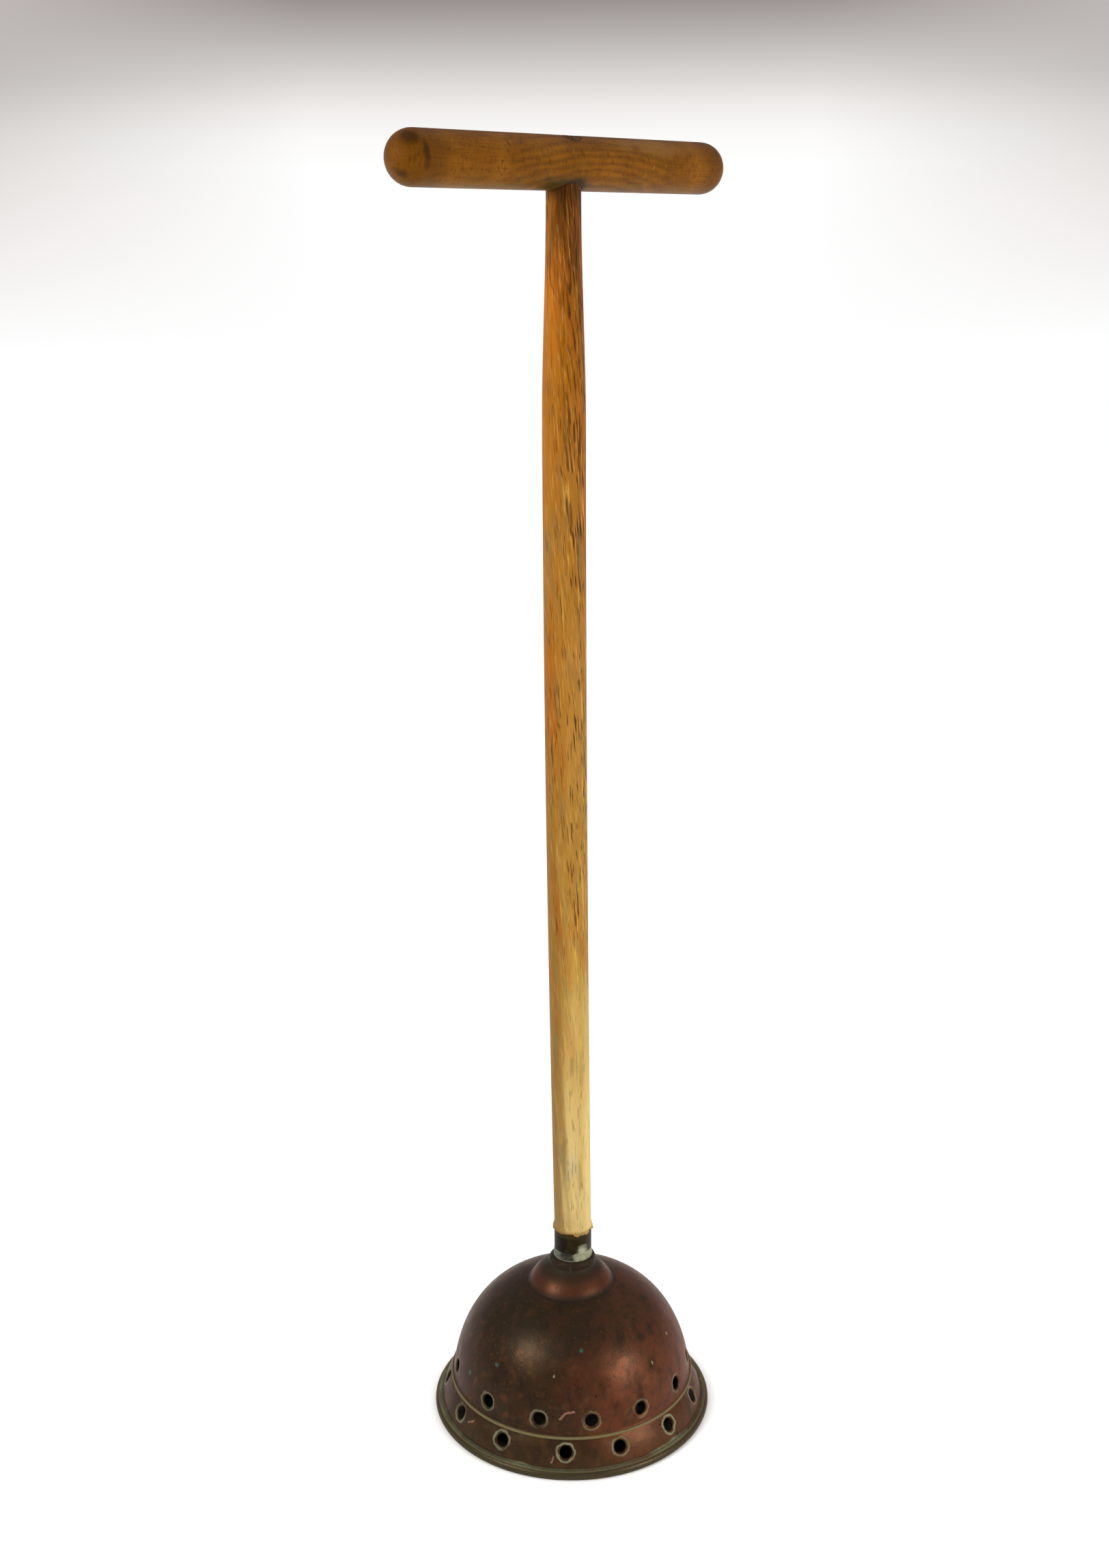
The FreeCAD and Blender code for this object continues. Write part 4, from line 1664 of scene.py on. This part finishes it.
@dataclass
class Studio:
    """A white floor and sweep, two broad soft lamps, and a plain light from all round."""

    floor_radius: float = 6000.0
    floor_sides: int = 96
    floor_glow: float = 0.86
    glow_strength: float = 1.2
    bell_shadow: tuple[float, float] = (92.0, 106.0)
    bell_inside: tuple[float, float] = (70.0, 88.0)
    bell_leak: float = 0.5
    paper: str = "#e9e7e3"
    under_bell_shade: str = "#15100b"
    white: str = "#ffffff"
    sweep: Stops = ((0.0, "#ffffff"), (1.0, "#968d8c"), (0.57, "#ffffff"), (0.65, "#fbfaf8"),
                    (0.72, "#f0edeb"), (0.79, "#dbd8d5"), (0.85, "#c9c5c2"), (0.92, "#b1aba9"))
    sweep_side: Stops = ((0.1, "#ffffff"), (1.0, "#c1bab9"), (0.47, "#ebe6e4"), (0.58, "#e1ddda"),
                         (0.65, "#d9d6d3"), (0.72, "#cec9c7"), (0.79, "#c2bdbb"), (0.9, "#bfb9b8"))
    sweep_rise: tuple[float, float] = (-0.06, 0.13)
    sweep_width: tuple[float, float] = (0.13, 0.29)
    sky_strength: float = 0.84
    lamp_distance: float = 1500.0
    lamp_size: float = 520.0
    lamp_power: float = 12.0
    aim_height: float = 60.0
    lamps: tuple[tuple[str, float, float], ...] = (("lamp_left", 171.5, 39.5), ("lamp_right", -75.5, 19.5))

    def build(self) -> None:
        """Lay the floor, hang the lamps and fill the world with light."""
        self.floor()
        for name, azimuth, elevation in self.lamps:
            self.lamp(name, azimuth, elevation)
        self.world()
        bpy.context.scene.view_settings.view_transform = "Standard"

    def seen(self, brush: Brush) -> Socket:
        """Return 1 for the rays that show the backdrop and 0 for those that light the object."""
        rays = brush.add("LightPath")
        shown = rays["Is Camera Ray"]
        for kind in ("Is Glossy Ray", "Is Transmission Ray"):
            shown = brush.calc("MAXIMUM", shown, rays[kind])
        return shown

    def floor(self) -> None:
        """Lay a pale floor that keeps the shadow, is painted dark as shade under the bell and is open from
        below.
        """
        floor = new_piece("floor", "circle", vertices=self.floor_sides, radius=self.floor_radius * MM,
                          fill_type="NGON", location=ORIGIN)
        material = bpy.data.materials.new("matt_white_paper")
        brush = Brush.on(material)
        away = brush.vector("LENGTH", brush.place())["Value"]
        open_floor = brush.ramp(away, *self.bell_shadow, self.floor_glow)
        share = brush.calc("MULTIPLY", self.seen(brush), open_floor)
        outside = brush.ramp(away, *self.bell_inside, kind="LINEAR")
        # painted shade: the paper turns dark under the bell
        paper = brush.add("BsdfDiffuse", {"Color": brush.coats(self.under_bell_shade, (outside, self.paper))})[0]
        glow = brush.add("Emission", {"Color": self.white, "Strength": self.glow_strength})[0]
        lit = brush.add("MixShader", {0: share, 1: paper, 2: glow})[0]
        back = brush.add("NewGeometry")["Backfacing"]
        hidden = brush.calc("SUBTRACT", 1.0, outside)
        unseen = brush.calc("SUBTRACT", 1.0, self.seen(brush))
        leak = brush.calc("MULTIPLY", hidden, unseen)
        leak = brush.calc("MULTIPLY", leak, self.bell_leak)
        clear = brush.calc("MAXIMUM", back, leak)
        sided = brush.add("MixShader", {0: clear, 1: lit, 2: brush.add("BsdfTransparent")[0]})[0]
        brush.add("OutputMaterial", {"Surface": sided})
        floor.data.materials.append(material)

    def lamp(self, name: str, azimuth: float, elevation: float) -> None:
        """Hang one square soft lamp that faces the bell.

        Args:
            name: the lamp's name.
            azimuth: its direction from the bell, in degrees from +X.
            elevation: its height above the horizon, in degrees.
        """
        target = mm(0, 0, self.aim_height)
        turned, raised = math.radians(azimuth), math.radians(elevation)
        level = math.cos(raised)
        away = Vector((math.cos(turned) * level, math.sin(turned) * level, math.sin(raised)))
        bpy.ops.object.select_all(action="DESELECT")
        bpy.ops.object.light_add(type="AREA", location=target + away * self.lamp_distance * MM)
        lamp = bpy.context.object
        lamp.name = name
        lamp.rotation_euler = away.to_track_quat("Z", "Y").to_euler()
        lamp.data.size = self.lamp_size * MM
        lamp.data.energy = self.lamp_power

    def world(self) -> None:
        """Give the world a white horizon that turns grey higher up, and a plain light for the object."""
        world = bpy.data.worlds.new("studio")
        bpy.context.scene.world = world
        brush = Brush.on(world)
        towards = brush.add("TexCoord")["Generated"]
        rise = brush.add("SeparateXYZ", {"Vector": towards})["Z"]
        across = brush.vector("DOT_PRODUCT", towards, LIT_SIDE)["Value"]
        across = brush.calc("ABSOLUTE", across)
        share = brush.ramp(rise, *self.sweep_rise, kind="LINEAR")
        aside = brush.ramp(across, *self.sweep_width, kind="LINEAR")
        middle, side = (brush.add("ValToRGB", {"Fac": share}, stops)["Color"]
                        for stops in (self.sweep, self.sweep_side))
        sweep = brush.coats(middle, (aside, side))
        backdrop = brush.add("Background", {"Color": sweep, "Strength": 1.0})[0]
        light = brush.add("Background", {"Color": self.white, "Strength": self.sky_strength})[0]
        mixed = brush.add("MixShader", {0: self.seen(brush), 1: light, 2: backdrop})[0]
        brush.add("OutputWorld", {"Surface": mixed})


def main() -> None:
    """Build the camera, the studio and every piece of the posser, and report each."""
    logging.basicConfig(level=logging.INFO, format="%(name)s: %(message)s")
    Camera().build()
    Studio().build()
    copper = SpunCopper("spun_copper_brown_oxide").material()
    inner = DullCopper("copper_sheet_dull").material()
    solder = SoftSolder("wiped_soft_solder").material()
    iron = ScaledIron("drawn_iron_tinned_foot", tin_height=119.0, wet_height=131.0).material()
    wire = ScaledIron("iron_wire_scaled").material()
    ash = HandledAsh("turned_ash_handled").material()
    hardwood = OiledHardwood("turned_hardwood_oiled").material()
    pieces = [BellDome().build(copper, inner)]
    pieces += BellSkirt().build(copper, inner)
    pieces += SocketTube().build(iron, solder)
    pieces += [Shaft().build(ash)]
    pieces += Crossbar().build(hardwood, ash)
    nodes = frame["nodes"]
    pieces += [dress(nodes[node], slot, finish) for node, slot, finish in (
        ("baffle", "plate_copper", inner), ("seam_solder", "soft_solder", solder),
        ("rim_wire", "rim_iron", wire), ("socket_nail", "nail_iron", wire))]
    for piece in pieces:
        LOG.info("%s: %d faces", piece.name, len(piece.data.polygons))


if __name__ == "__main__":
    main()
